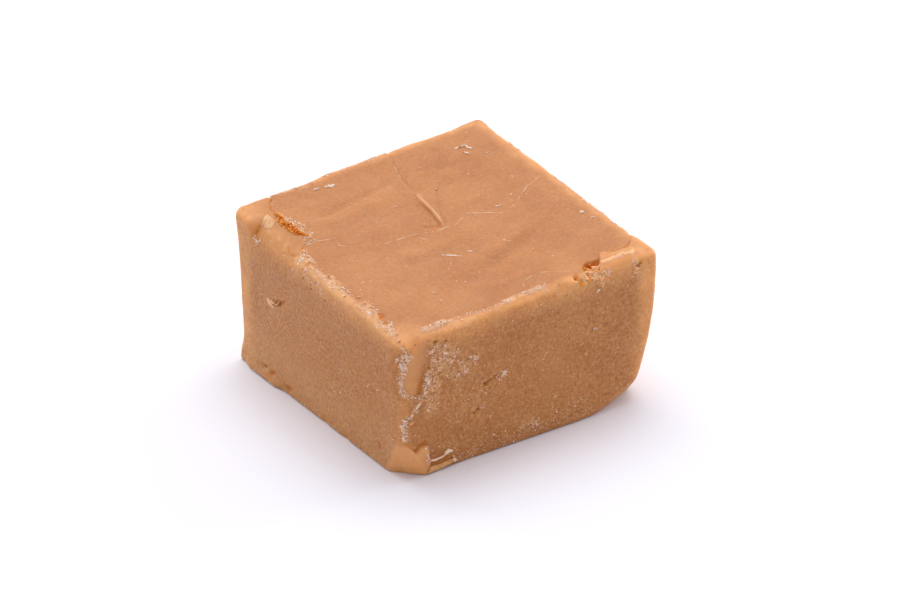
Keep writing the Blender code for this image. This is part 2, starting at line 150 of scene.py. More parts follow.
# Tongue pressed over the foot of the front edge, on the right wall: its outline, x and height
TONGUE = ((-18.6, 5.2), (-17.4, 4.7), (-17.0, 4.55), (-16.5, 3.9), (-15.9, 3.3), (-15.5, 3.9),
          (-14.9, 4.0), (-14.25, 3.7), (-14.2, 2.4), (-14.0, 1.5), (-14.1, 0.0))
TONGUE_EDGE = -14.1
TONGUE_SWELL = 0.3

# Lip squeezed out along the foot of the left wall, and the nick where it ends
LIP_Y = 11.8
LIP_REACH = 4.8
LIP_HEIGHT = 1.1
LIP_SWELL = 0.45
NICKS = ((10.1, 0.5, 1.2, 0.35), (6.4, 0.8, 0.9, 0.45), (-1.5, 0.6, 0.4, 0.25), (-6.0, 0.5, 0.4, 0.25))

# Pits in the walls: place along the wall, height, half length, half height, depth
PITS_LEFT = ((7.9, 11.8, 0.55, 0.4, 0.5), (7.0, 12.2, 0.3, 0.3, 0.35), (6.5, 12.7, 0.2, 0.2, 0.3),
             (-12.9, 2.4, 0.22, 0.5, 0.4), (3.2, 10.1, 0.18, 0.14, 0.2),
             (3.9, 15.9, 0.18, 0.14, 0.2), (-1.6, 17.4, 0.16, 0.22, 0.3),
             (-0.6, 18.0, 0.14, 0.2, 0.25), (-2.6, 16.7, 0.2, 0.22, 0.3),
             (-1.9, 16.6, 0.14, 0.2, 0.25), (0.6, 16.8, 0.18, 0.16, 0.22),
             (2.2, 17.6, 0.14, 0.2, 0.2), (13.4, 19.2, 0.16, 0.24, 0.25),
             (13.3, 18.7, 0.14, 0.2, 0.25), (13.0, 17.6, 0.12, 0.14, 0.2),
             (-13.0, 9.7, 0.16, 0.14, 0.2), (-13.6, 10.0, 0.14, 0.14, 0.2),
             (-5.8, 7.0, 0.14, 0.2, 0.15), (11.6, 1.6, 0.5, 0.2, 0.3), (9.8, 1.5, 0.3, 0.2, 0.25))
PITS_RIGHT = ((-6.45, 9.35, 0.42, 0.26, 0.6), (-5.9, 9.65, 0.36, 0.22, 0.55),
              (-5.3, 9.9, 0.34, 0.22, 0.5), (-8.0, 6.0, 0.26, 0.2, 0.5),
              (-7.6, 6.25, 0.26, 0.18, 0.45), (-3.9, 9.3, 0.14, 0.12, 0.25),
              (0.3, 8.8, 0.12, 0.12, 0.2), (3.0, 11.3, 0.18, 0.12, 0.25),
              (2.2, 11.2, 0.14, 0.1, 0.2), (8.2, 11.7, 0.26, 0.15, 0.22),
              (7.3, 11.3, 0.2, 0.12, 0.18), (8.9, 11.7, 0.2, 0.14, 0.2),
              (14.7, 18.1, 0.24, 0.22, 0.45), (15.2, 18.3, 0.2, 0.2, 0.4),
              (-13.4, 16.9, 0.35, 0.16, 0.3), (-12.0, 16.6, 0.3, 0.14, 0.25),
              (-14.2, 13.9, 0.18, 0.25, 0.3))
PITS_BACK_LEFT = ((-6.0, 13.5, 0.8, 0.5, 0.4), (8.5, 6.5, 0.55, 0.5, 0.45),
                  (12.0, 17.0, 0.9, 0.3, 0.35), (-12.0, 6.0, 0.25, 0.2, 0.3),
                  (2.0, 17.5, 0.22, 0.2, 0.25), (-1.0, 4.2, 0.3, 0.2, 0.3))
PITS_BACK_RIGHT = ((-3.0, 8.0, 0.7, 0.4, 0.45), (9.0, 15.0, 0.8, 0.35, 0.4),
                   (3.0, 17.5, 0.2, 0.2, 0.25), (-10.0, 12.0, 0.24, 0.2, 0.3),
                   (12.0, 5.0, 0.3, 0.22, 0.3))

# Patches of grained sugar on the right wall: middle x and height, half length, half height, reach
# and strength, and the thin band of it low on the wall
GRAIN_PATCHES = ((-12.4, 14.4, 1.0, 1.0, 2.1, 1.0), (-9.6, 12.4, 1.3, 0.8, 1.5, 0.85),
                 (-13.6, 10.5, 0.8, 2.0, 1.6, 0.8), (-9.0, 8.5, 2.0, 1.6, 3.2, 0.3),
                 (0.8, 16.6, 1.7, 0.8, 1.6, 0.28))
GRAIN_BAND_HEIGHT = 2.4
GRAIN_BAND_STRENGTH = 0.35

# Corner cut off at the foot of the front edge: the way that it faces, its reach, its lean, and the
# heights between which it ends
CUT_OFF_WAY = (-0.693, -0.721)
CUT_OFF_REACH = 22.2
CUT_OFF_LEAN = 0.36
CUT_OFF_END = (4.2, 5.0)

# Torn spot below the ledge's end
TORN_SPOT = (-17.3, 13.5, 18.9)
TORN_SPOT_REACH = 0.7

# Corners painted lighter with the rims' glow, standing in for light that they catch: middle, reach and
# strength
GLOW_CORNERS = (((-17.5, 14.0, 18.6), 2.2, 0.55), ((-16.4, -16.6, 18.2), 2.0, 0.75),
                ((-16.8, 16.4, 20.3), 2.0, 0.5), ((16.8, -16.8, 19.2), 2.4, 0.6))

# Values that the surface carries for its finish, each from 0 to 1
# edge is painted glow and highlight, umber painted shade in hollows, dry a painted grey sheen, and wall
# sets the walls' grain and a painted tint of their light
MARKS = ("torn", "umber", "pale", "smooth", "grain", "edge", "dry", "wall")

# Camera: its turn about the block, its height angle and distance, how far to the right of the
# frame's origin and above it the camera aims, and its lens
CAMERA_TURN = -34.68
CAMERA_RISE = 28.0
CAMERA_DISTANCE = 302.2
CAMERA_RIGHT = 0.773
CAMERA_UP = 9.03
CAMERA_LENS = 100.0


def ramp(value, low, high):
    """Rise smoothly from 0 at low to 1 at high."""
    t = np.clip((value - low) / (high - low), 0.0, 1.0)
    return t * t * (3.0 - 2.0 * t)


def hill(distance, reach):
    """Bell that is 1 at no distance and nearly 0 at twice its reach."""
    return np.exp(-((distance / reach) ** 2))


def hollow(share, floor=0.55, rim=1.15):
    """1 on a hollow's floor, 0 outside its rim, by the share of the way from middle to rim."""
    return 1.0 - ramp(share, floor, rim)


def cell_value(i, j, k, seed):
    """Value from 0 to 1 drawn for each whole-numbered cell, by mixing its three numbers."""
    n = (i * 374761393 + j * 668265263 + k * 1440662683 + seed * 1274126177) & 0xFFFFFFFF
    n = ((n ^ (n >> 13)) * 1103515245) & 0xFFFFFFFF
    n = ((n ^ (n >> 15)) * 668265263) & 0xFFFFFFFF
    return ((n ^ (n >> 16)) & 0xFFFFFF) / float(0xFFFFFF)


def cloud(points, size, seed):
    """Smooth noise from -1 to 1: cell corners hold drawn values, eased between them on x, y and z."""
    place = points / size
    cell = np.floor(place).astype(np.int64)
    t = place - cell
    t = t * t * (3.0 - 2.0 * t)
    total = np.zeros(len(points))
    for corner in np.ndindex(2, 2, 2):
        share = np.prod(np.where(corner, t, 1.0 - t), axis=1)
        i, j, k = (cell + corner).T
        total += share * cell_value(i, j, k, seed)
    return 2.0 * total - 1.0


def pebbles(points, size, seed):
    """Close-packed lumps from 0 to 1: one drawn point in each cell, high where that point is near."""
    place = points / size
    cell = np.floor(place).astype(np.int64)
    nearest = np.full(len(points), 9.0)
    for step in np.ndindex(3, 3, 3):
        i, j, k = (cell + step - 1).T
        drawn = np.stack([cell_value(i, j, k, seed + n) for n in range(3)], axis=1)
        middle = cell + step - 1 + drawn
        nearest = np.minimum(nearest, ((place - middle) ** 2).sum(axis=1))
    return np.clip(1.0 - nearest, 0.0, 1.0)


def along(points, path):
    """Distance to a path, share of it passed, and in a plane the side that a point is on (left +1)."""
    path = np.array(path, float)
    lengths = np.linalg.norm(np.diff(path, axis=0), axis=1)
    start = np.concatenate([[0.0], np.cumsum(lengths)])
    best = np.full(len(points), np.inf)
    share = np.zeros(len(points))
    side = np.zeros(len(points))
    for n, length in enumerate(lengths):
        step = (path[n + 1] - path[n]) / length
        from_start = points - path[n]
        t = np.clip(from_start @ step, 0.0, length)
        distance = np.linalg.norm(from_start - t[:, None] * step, axis=1)
        nearer = distance < best
        best = np.where(nearer, distance, best)
        share = np.where(nearer, (start[n] + t) / start[-1], share)
        side = np.where(nearer, np.sign(step[0] * from_start[:, 1] - step[1] * from_start[:, 0]), side)
    return best, share, side


def near(points, path, reach, fade=0.5):
    """1 within reach of a path in space, fading to 0 over the next `fade` shares of the reach."""
    distance, _, _ = along(points, path)
    return 1.0 - ramp(distance / reach, 1.0, 1.0 + fade)


def spaced_lines(stops):
    """Places of the lines between the first and the last stop, as far apart as the stops say."""
    places = np.linspace(stops[0][0], stops[-1][0], 8000)
    spacing = np.interp(places, [stop[0] for stop in stops], [stop[1] for stop in stops])
    passed = np.concatenate([[0.0], np.cumsum(np.diff(places) / spacing[1:])])
    count = int(np.ceil(passed[-1]))
    return np.interp(np.linspace(0.0, passed[-1], count + 1), passed, places)


def squares(numbers, turned=False):
    """Four-cornered faces between rows and columns of point numbers, where -1 is no point."""
    corners = (numbers[:-1, :-1], numbers[1:, :-1], numbers[1:, 1:], numbers[:-1, 1:])
    faces = np.stack(corners, axis=-1).reshape(-1, 4)
    faces = faces[(faces >= 0).all(axis=1)]
    return faces[:, ::-1] if turned else faces


def box_skin(x, y, z, band):
    """Five sheets of two parameters each, the top and four walls, that share their border points.

    The underside keeps its outer `band` rows of squares and is one face inside them.
    """
    i, j, k = np.indices((len(x), len(y), len(z)))
    from_edge = np.minimum(np.minimum(i, len(x) - 1 - i), np.minimum(j, len(y) - 1 - j))
    skin = (from_edge == 0) | (k == len(z) - 1) | ((k == 0) & (from_edge <= band))
    ids = np.full(i.shape, -1)
    ids[skin] = np.arange(skin.sum())
    points = np.stack([x[i[skin]], y[j[skin]], z[k[skin]]], axis=1)
    sheets = [squares(ids[:, :, -1]), squares(ids[:, :, 0], turned=True),
              squares(ids[:, 0, :]), squares(ids[:, -1, :], turned=True),
              squares(ids[0, :, :], turned=True), squares(ids[-1, :, :])]
    inner = ids[band:len(x) - band, band:len(y) - band, 0]
    loop = np.concatenate([inner[:-1, 0], inner[-1, :-1], inner[:0:-1, -1], inner[0, :0:-1]])
    return points, np.concatenate(sheets).tolist() + [loop[::-1].tolist()]


def corner_mix(corners, across, away):
    """Mix four corner values by how far across and how far away a point lies, both 0 to 1."""
    front_side = corners["front"] * (1 - across) + corners["right"] * across
    far_side = corners["left"] * (1 - across) + corners["back"] * across
    return front_side * (1 - away) + far_side * away


def rounded(points):
    """Points of a sharp box pulled onto the same box with rounded edges, and their outward direction."""
    half = np.array([WIDTH / 2, DEPTH / 2, NOMINAL_HEIGHT / 2])
    centred = points - [0.0, 0.0, half[2]]
    across = centred[:, 0] / WIDTH + 0.5
    away = centred[:, 1] / DEPTH + 0.5
    high = ramp(points[:, 2], NOMINAL_HEIGHT - UPRIGHT_FADE, NOMINAL_HEIGHT - FOOT_ROUND)
    low = 1.0 - ramp(points[:, 2], FOOT_ROUND, UPRIGHT_FADE)
    radius = corner_mix(UPRIGHT_ROUND, across, away) * (1 - high) * (1 - low)
    radius = (radius + TOP_ROUND * high + FOOT_ROUND * low)[:, None]
    core = np.clip(centred, radius - half, half - radius)
    outward = centred - core
    outward /= np.maximum(np.linalg.norm(outward, axis=1), 1e-9)[:, None]
    return core + outward * radius + [0.0, 0.0, half[2]], outward


def leaned(points):
    """Give each corner its own height and shift the foot under it."""
    across = points[:, 0] / WIDTH + 0.5
    away = points[:, 1] / DEPTH + 0.5
    rise = points[:, 2] / NOMINAL_HEIGHT
    out = points.copy()
    out[:, 2] = rise * corner_mix(CORNER_HEIGHT, across, away)
    out[:, 0] += (1 - rise) * corner_mix(FOOT_SHIFT_X, across, away)
    out[:, 1] += (1 - rise) * corner_mix(FOOT_SHIFT_Y, across, away)
    return out


def top_level(x, y):
    """Height of the plain top over a place of the plan."""
    return corner_mix(CORNER_HEIGHT, x / WIDTH + 0.5, y / DEPTH + 0.5)


def pressed_in(points, degrees, reach, lean, softness, stretch=1.0):
    """Push points back to a leaning plane: each by softness * ln(1 + e^(its way past it / softness))."""
    direction = np.array([np.cos(np.radians(degrees)), -np.sin(np.radians(degrees))])
    beyond = points[:, :2] @ direction - (reach + lean * points[:, 2])
    press = softness * np.logaddexp(0.0, beyond / softness) * stretch
    out = points.copy()
    out[:, :2] -= press[:, None] * direction
    return out


def knocked_off(points):
    """Press the low right corner and the front corner in, and plane a stretch of the front edge."""
    for degrees, reach, lean, softness in KNOCKS:
        points = pressed_in(points, degrees, reach, lean, softness)
    stretch = ramp(points[:, 2], PLANED_FROM - 0.3, PLANED_FROM + 1.2)
    stretch *= 1.0 - ramp(points[:, 2], PLANED_TO - 1.2, PLANED_TO + 0.6)
    return pressed_in(points, PLANED_TURN, PLANED_REACH, 0.0, PLANED_SOFTNESS, stretch)


def smeared_ledge(points):
    """Press the left edge in to a soft leaning face over the ledge's length, and tell how far it went."""
    tilt = np.radians(LEDGE_TILT)
    direction = np.array([-np.cos(tilt), 0.0, np.sin(tilt)])
    anchor = np.stack([np.full(len(points), LEDGE_AT), points[:, 1],
                       top_level(LEDGE_AT, points[:, 1]) - 0.1], axis=1)
    length = ramp(points[:, 1], LEDGE_FROM - 1.4, LEDGE_FROM + 1.2)
    length *= 1.0 - ramp(points[:, 1], LEDGE_TO - 0.8, LEDGE_TO + 0.9)
    beyond = (points - anchor) @ direction
    press = LEDGE_SOFTNESS * np.logaddexp(0.0, beyond / LEDGE_SOFTNESS) * length
    return points - press[:, None] * direction, np.clip(press / 0.8, 0.0, 1.0)


def raise_mark(marks, name, value):
    """Bring a mark up to a value wherever it is below it."""
    marks[name] = np.maximum(marks[name], value)


def fold_relief(plan):
    """Raised strip with a groove at its left, a wedge that falls to the crease, and a tuck at the tip."""
    crest, share, side = along(plan, FOLD_CREST)
    crease, _, crease_side = along(plan, FOLD_CREASE)
    tuck, _, _ = along(plan, FOLD_TUCK)
    strength = ramp(share, 0.0, 0.35) * (1.0 - 0.7 * ramp(share, 0.93, 1.0))
    within = (side > 0) & (crease_side < 0)
    wedge = np.where(within, FOLD_HEIGHT * crease / (crest + crease + 1e-6), 0.0)
    ahead = 1.0 - ramp(plan[:, 1], 7.0, 10.0)
    left = np.where(side > 0, 0.0, 1.0)
    strip = 0.14 * hill(crest, 0.2) + left * (FOLD_HEIGHT - 0.05) * hill(crest, 0.18)
    groove = left * hill(crest - 0.3, 0.13)
    dip = 0.07 * left * hill(crest - 0.9, 0.9)
    height = strength * (wedge * ahead + strip - FOLD_GROOVE * groove - dip)
    height -= 0.17 * hill(crease, 0.4) * np.where(crease_side > 0, 1.0, 0.3) * ahead
    height -= 0.26 * hill(tuck, 0.24)
    deep = np.maximum(strength * groove, 0.8 * hill(tuck, 0.2))
    return height, deep, strength * hill(crest, 0.2)


def top_relief(points, marks):
    """Height added to the top by its swells, fold, creases, seams, crack, notch, flake and pockets."""
    plan = points[:, :2]
    height = np.zeros(len(points))
    for x, y, reach, rise in TOP_SWELLS:
        height += rise * hill(np.hypot(plan[:, 0] - x, plan[:, 1] - y), reach)
    for path, reach, rise in TOP_VALLEYS:
        distance, share, _ = along(plan, path)
        height += rise * hill(distance, reach) * ramp(share, 0.0, 0.2) * (1.0 - ramp(share, 0.8, 1.0))
    fold, deep, strip = fold_relief(plan)
    height += fold
    raise_mark(marks, "torn", 0.3 * deep)
    # Painted shade in the fold's groove and tuck
    raise_mark(marks, "umber", 0.12 * deep)
    # Painted highlight along the fold's raised strip
    raise_mark(marks, "pale", 0.45 * strip)
    distance, share, side = along(plan, BACK_CREASE)
    height += 0.09 * side * hill(distance, 0.9) - 0.12 * hill(distance, 0.24)
    # Painted shade down the back crease
    raise_mark(marks, "umber", 0.3 * hill(distance, 0.16) * ramp(share, 0.1, 0.5))
    jag = 0.12 * cloud(points, 0.5, 31) + 0.1 * cloud(points, 1.3, 32)
    for path in (SEAM_LEFT, SEAM_RIGHT):
        distance, _, _ = along(plan, path)
        seam = hill(distance + 0.5 * jag, SEAM_REACH)
        height -= SEAM_DEPTH * seam * (0.6 + 0.5 * cloud(points, 1.1, 33))
        raise_mark(marks, "torn", 0.5 * seam)
        # Painted shade down the middle of each seam
        raise_mark(marks, "umber", 0.4 * hill(distance + 0.5 * jag, 0.6 * SEAM_REACH))
    return height + crack_relief(points, plan, jag, marks) + right_rim_relief(points, plan, jag, marks)


def crack_relief(points, plan, jag, marks):
    """Open crack with a crumbled floor and a pale rim, and the thin lip where the ledge ends."""
    distance, share, side = along(plan, CRACK)
    width = CRACK_HALF_WIDTH * (0.3 + 0.7 * np.sin(np.pi * np.clip(share * 0.9 + 0.08, 0, 1)) ** 0.7)
    inside = hollow((distance + 0.8 * jag) / width, 0.7, 1.25)
    clods = pebbles(points, 0.36, 34)
    height = -inside * (CRACK_DEPTH - 0.8 * clods)
    raise_mark(marks, "torn", hollow((distance + 0.8 * jag) / width, 1.1, 1.6))
    # Painted shade between the clods on the crack's floor
    raise_mark(marks, "umber", 0.9 * inside * ramp(clods, 0.62, 0.3))
    rim = hill((distance + jag) / width - 1.9, 0.5) * (side > 0)
    raise_mark(marks, "pale", 0.3 * inside * ramp(clods, 0.7, 0.9))
    height += 0.07 * rim * (1.0 + cloud(points, 0.35, 35))
    raise_mark(marks, "pale", 0.7 * rim * ramp(cloud(points, 0.4, 36), -0.4, 0.3))
    distance, _, side = along(plan, LEDGE_LIP)
    height += 0.09 * hill(distance - 0.2, 0.3) * (side > 0) - 0.2 * hill(distance + 0.5 * jag, 0.1)
    raise_mark(marks, "torn", 0.5 * hill(distance + 0.5 * jag, 0.1))
    return height


def right_rim_relief(points, plan, jag, marks):
    """Notch crumbled out of the right rim, boxy flake beside it, and small holes."""
    x, y = plan.T
    height = np.zeros(len(points))
    slanted = x - RIM_SLANT * (y - RIM_LINE)
    inside = ramp(slanted + jag, NOTCH_FROM - 0.1, NOTCH_FROM + 0.12)
    inside *= 1.0 - ramp(slanted + jag, NOTCH_TO - 0.1, NOTCH_TO + 0.12)
    ragged = 1.8 * jag + 0.25 * (pebbles(points, 0.5, 42) - 0.5)
    inside *= 1.0 - ramp(y + ragged, NOTCH_BACK - 0.2, NOTCH_BACK + 0.15)
    clods = pebbles(points, 0.62, 38)
    height -= inside * (NOTCH_DEPTH - 0.5 * clods * (y < -16.5))
    amber = np.maximum(ramp(y, -17.0, -16.3), 0.85 * (1.0 - ramp(clods, 0.3, 0.6)))
    raise_mark(marks, "torn", inside * amber)
    raise_mark(marks, "pale", 0.75 * inside * (1.0 - amber))
    back = np.interp(x, [corner[0] for corner in FLAKE_BACK], [corner[1] for corner in FLAKE_BACK])
    flake = ramp(slanted + 0.2 * jag, FLAKE_FROM - 0.05, FLAKE_FROM + 0.08)
    flake *= 1.0 - ramp(slanted + 1.5 * jag, FLAKE_TO - 0.2, FLAKE_TO + 0.2)
    flake *= 1.0 - ramp(y + 0.4 * jag, back - 0.05, back + 0.1)
    crest = hill(y - (FLAKE_CREST + 0.12 * np.sin(2.1 * x)) + 0.8 * jag, 0.17) * flake
    boxy = flake * (FLAKE_HEIGHT - 0.3 * ramp(y, -16.9, back))
    height += boxy + 0.2 * crest * (1.0 + cloud(points, 0.4, 39))
    raise_mark(marks, "smooth", 0.7 * flake)
    raise_mark(marks, "pale", 0.9 * crest)
    # Painted highlight on the flake's top and its outer rim
    raise_mark(marks, "edge", 0.3 * flake + 0.35 * flake * ramp(y, -16.7, -17.1))
    for x, y, reach, depth in POCKETS:
        distance = np.hypot(plan[:, 0] - x, plan[:, 1] - y) + 1.6 * reach * jag
        inside = hollow(distance / reach, 0.6, 1.2)
        height -= inside * depth * (1.0 - 0.3 * pebbles(points, 0.5, 37))
        raise_mark(marks, "torn", inside)
    return height


def pits(points, place, height, holes, marks, weight):
    """Depth of the pits in one wall, each with a torn floor darkened by painted shade and a slightly pale
    rim.
    """
    depth = np.zeros(len(place))
    for middle, level, half_length, half_height, deepest in holes:
        distance = np.hypot((place - middle) / half_length, (height - level) / half_height)
        close = distance < 6.0
        distance = distance + 0.25 * cloud(points, 0.35, 41)
        inside = hollow(distance, 0.5, 1.25) * weight
        depth += deepest * inside
        raise_mark(marks, "torn", np.where(close, 0.6 * inside, 0.0))
        # Painted shade inside the pit
        raise_mark(marks, "umber", np.where(close, 0.4 * inside, 0.0))
        raise_mark(marks, "pale", 0.15 * hill(distance - 1.6, 0.35) * weight)
    return depth


def bites(place, height, top, holes):
    """Depth of the bites out of an upper edge, fading down the wall."""
    depth = np.zeros(len(place))
    for middle, reach, deepest in holes:
        depth += deepest * hill(place - middle, reach)
    return depth * ramp(height, top - BITE_BELOW, top - FOOT_ROUND)


def tongue_height(x):
    """Upper outline of the tongue over the right wall, by x."""
    return np.interp(x, [corner[0] for corner in TONGUE], [corner[1] for corner in TONGUE])


def right_wall_depth(points, marks, weight):
    """Scoop that gets deeper to its right and its foot, tongue with a groove over it, and pits."""
    x, _, z = points.T
    jag = 0.14 * cloud(points, 0.5, 51) + 0.12 * cloud(points, 1.4, 52)
    slanted = x - SCOOP_SLANT * (z - 12.0)
    across = np.clip((slanted - SCOOP_FROM + 1.2 * jag) / (SCOOP_TO - SCOOP_FROM), 0.0, 1.6)
    soft = 0.07 + 0.35 * ramp(z, 13.5, 16.5)
    inside = ramp(across, -0.02, 0.2) * (1.0 - ramp(across, 1.02 - soft, 1.02 + soft))
    down = ramp(SCOOP_TOP - z, 0.0, 1.6)
    down = down * ramp(z + jag - 0.5 * (across - 0.5), SCOOP_FOOT - 0.15, SCOOP_FOOT + 0.4)
    scoop = inside * down
    gouge = ramp(across, 0.7, 0.95) * ramp(SCOOP_TOP - z, 3.0, 6.0)
    depth = scoop * (0.12 + 0.08 * across + SCOOP_DEPTH * gouge)
    raise_mark(marks, "smooth", scoop * weight)
    # Painted glow: amber over the shade at the scoop's deep right border, and a little painted shade
    deep = scoop * ramp(across, 0.76, 0.98) * ramp(SCOOP_TOP - z, 3.6, 6.5)
    raise_mark(marks, "torn", 0.5 * deep * weight)
    raise_mark(marks, "umber", 0.06 * deep * weight)
    # Painted light across the scoop's lit part
    lit = scoop * (1.0 - gouge) * (1.0 - 0.7 * across.clip(0.0, 1.0))
    raise_mark(marks, "edge", 0.62 * lit * weight)
    border = hill(across - 1.12, 0.09) * down * ramp(SCOOP_TOP - z, 3.2, 5.0)
    depth -= 0.13 * border * (1.0 + cloud(points, 0.5, 53))
    raise_mark(marks, "pale", 0.6 * border * ramp(cloud(points, 0.6, 54), -0.4, 0.3) * weight)
    level = tongue_height(x + 0.6 * jag) + 0.4 * jag
    side = 1.0 - ramp(x + jag, TONGUE_EDGE - 0.12, TONGUE_EDGE + 0.06)
    tongue = side * (1.0 - ramp(z, level - 0.12, level + 0.06)) * ramp(x, -18.0, -16.8)
    groove = hill(z - level - 0.24, 0.22) * (0.35 + 0.65 * hill(x + 15.3, 0.9)) * side
    depth += 0.3 * groove - TONGUE_SWELL * tongue
    raise_mark(marks, "torn", groove * (1.0 - tongue) * weight)
    # Painted shade in the groove above the tongue
    raise_mark(marks, "umber", 0.3 * groove * (1.0 - tongue) * weight)
    split = hill(z - 1.25 - 0.05 * (x + 14.0), 0.2)
    split = split * ramp(x, -14.3, -13.9) * (1.0 - ramp(x, -11.8, -11.0))
    raise_mark(marks, "torn", split * weight)
    # Painted shade in the split between the slivers
    raise_mark(marks, "umber", 0.5 * split * weight)
    depth += 0.15 * split
    # Painted shade beside the tongue, near its foot
    beside = hill(np.hypot((x + 13.3) / 1.3, (z - 2.5) / 0.7), 0.8) * (1.0 - tongue)
    raise_mark(marks, "umber", 0.35 * beside * weight)
    lip = hill(z - level + 0.1, 0.13) * side * ramp(x, -17.4, -16.6)
    raise_mark(marks, "pale", 0.5 * lip * ramp(cloud(points, 0.5, 55), -0.5, 0.4) * weight)
    raise_mark(marks, "smooth", tongue * weight)
    # Painted light on the tongue's facet
    raise_mark(marks, "edge", 0.6 * tongue * weight)
    marks["grain"] = marks["grain"] * (1.0 - np.clip(scoop + tongue, 0, 1))
    return (depth + pits(points, x, z, PITS_RIGHT, marks, weight)) * weight


def left_wall_depth(points, marks, weight):
    """Lip along the foot, nicks in it, and pits."""
    _, y, z = points.T
    lip = LIP_SWELL * (1.0 - ramp(np.abs(y - LIP_Y), 0.5 * LIP_REACH, LIP_REACH))
    lip *= 1.0 - ramp(z + 0.25 * cloud(points, 1.2, 61), 0.6 * LIP_HEIGHT, 1.3 * LIP_HEIGHT)
    depth = -lip
    for place, reach, level, deepest in NICKS:
        nick = hill(y - place, reach) * hill(z - level, 0.35)
        depth += deepest * nick
        raise_mark(marks, "torn", 0.7 * nick * weight)
    return (depth + pits(points, y, z, PITS_LEFT, marks, weight)) * weight


def edge_relief(points, outward, marks):
    """Uneven edges: a softly lumpy rim, whitish rough patches on it, and a rough front edge."""
    x, y, z = points.T
    sideways = np.maximum(np.abs(outward[:, 0]), np.abs(outward[:, 1]))
    rim = np.clip(2.2 * np.clip(outward[:, 2], 0, 1) * sideways, 0.0, 1.0)
    upright = np.clip(2.2 * np.abs(outward[:, 0] * outward[:, 1]), 0.0, 1.0)
    front_edge = upright * (x < 0) * (y < 0)
    lumps = pebbles(points, 0.55, 71) - 0.5
    height = rim * (0.07 * cloud(points, 2.4, 72) + 0.04 * cloud(points, 0.9, 73))
    left_rim = rim * (outward[:, 0] < -0.25) * (1.0 - ramp(y, 4.0, 5.0)) * ramp(y, -16.0, -13.0)
    front_edge = front_edge * ramp(z, 4.5, 6.0) * (1.0 - ramp(z, 15.5, 17.0))
    height += np.maximum(left_rim, front_edge) * (0.05 * lumps + 0.05 * cloud(points, 1.3, 74))
    fine_lumps = pebbles(points, 0.34, 77) - 0.5
    for path, reach in RIM_PATCHES:
        patch = near(points, path, reach, 1.3)
        height += patch * (0.03 + 0.12 * fine_lumps)
        dry = patch * ramp(fine_lumps + 1.2 * cloud(points, 0.45, 76), -0.2, 0.5)
        raise_mark(marks, "pale", 0.5 * dry)
        raise_mark(marks, "torn", 0.25 * patch * ramp(-fine_lumps, 0.25, 0.5))
    raise_mark(marks, "pale", 0.3 * rim * ramp(cloud(points, 0.8, 75), 0.1, 0.7))
    raise_mark(marks, "pale", 0.25 * left_rim)
    return height


def wall_shares(outward):
    """How far each point faces left, right, back left and back right, each from 0 to 1."""
    ways = (-outward[:, 0], -outward[:, 1], outward[:, 1], outward[:, 0])
    return [np.clip(way, 0, 1) for way in ways]


def grain_share(points, outward):
    """Where sugar has grained on the right wall: the highest of a thin low band and its patches."""
    x, _, z = points.T
    share = GRAIN_BAND_STRENGTH * hill(z - GRAIN_BAND_HEIGHT, 2.0) * (1.0 - ramp(x, 4.0, 12.0))
    for middle, level, half_length, half_height, reach, strength in GRAIN_PATCHES:
        distance = np.hypot((x - middle) / half_length, (z - level) / half_height)
        share = np.maximum(share, strength * hill(distance, reach))
    return share * ramp(-outward[:, 1], 0.5, 0.9)


def grained_relief(points, marks):
    """Roughness of grained sugar and of torn fudge, with pale clots, torn gaps in the grain and painted
    shade in the deepest of them.
    """
    clods = pebbles(points, 0.5, 91)
    rough = marks["grain"] * (0.18 * clods - 0.08)
    clotted = ramp(marks["grain"] + 0.35 * cloud(points, 1.2, 93), 0.35, 0.8)
    raise_mark(marks, "pale", 0.45 * clotted * ramp(clods, 0.62, 0.85))
    raise_mark(marks, "torn", 0.62 * clotted * ramp(clods, 0.55, 0.3))
    # Painted shade in the deepest gaps between the clots
    raise_mark(marks, "umber", 0.35 * clotted * ramp(clods, 0.4, 0.15))
    return rough, marks["torn"] * (0.10 * pebbles(points, 0.4, 92) - 0.05)


def painted_edge_glow(points, outward, smear):
    """Painted light: a glow painted on the rims and a band below them, on the corners and up the ends of
    the walls.
    """
    x, y, z = points.T
    left, right, back_left, back_right = wall_shares(outward)
    sideways = np.maximum(np.abs(outward[:, 0]), np.abs(outward[:, 1]))
    jag = cloud(points, 1.3, 95)
    blotchy = 0.8 + 0.3 * jag + 0.15 * cloud(points, 0.5, 96)
    edge = blotchy * ramp(2.0 * np.clip(outward[:, 2], 0, 1) * sideways, -0.1, 1.15)
    edge = 0.85 * edge * (1.0 - 0.9 * smear) + 0.4 * smear
    # Painted light in a band below the rims, lifting the shade there
    below_rim = ramp(top_level(x, y) - z, 3.4, 0.2) * sideways
    edge = np.maximum(edge, (0.5 + 0.05 * right) * below_rim * (0.8 + 0.4 * cloud(points, 2.0, 98)))
    for middle, reach, share in GLOW_CORNERS:
        away = np.linalg.norm((points - middle) * [1.0, 1.0, 0.8], axis=1)
        edge = np.maximum(edge, share * hill(away, reach) * (0.85 + 0.3 * jag))
    far_rim = ramp(y + 0.4 * jag, 15.8, 17.4) * ramp(x, -12.0, -8.0)
    far_rim = np.maximum(far_rim, ramp(x + 0.4 * jag, 15.4, 17.2))
    edge = np.maximum(edge, 0.5 * far_rim * ramp(outward[:, 2], 0.3, 0.8))
    upright = 1.6 * np.abs(outward[:, 0] * outward[:, 1]) * (0.85 + 0.3 * cloud(points, 1.5, 97))
    edge = np.maximum(edge, upright * np.where((x < 0) & (y < 0), 0.45, 0.7))
    # Painted light up the ends of the walls, where light from behind catches the sides
    for strip in (0.8 * left * ramp(y, 13.0, 15.8), right * ramp(x, 13.6, 16.4),
                  0.6 * back_left * ramp(-x, 13.4, 16.4), 0.6 * back_right * ramp(-y, 13.4, 16.4)):
        edge = np.maximum(edge, 0.55 * strip * ramp(z, -2.0, 6.0) * (0.9 + 0.35 * jag))
    return edge


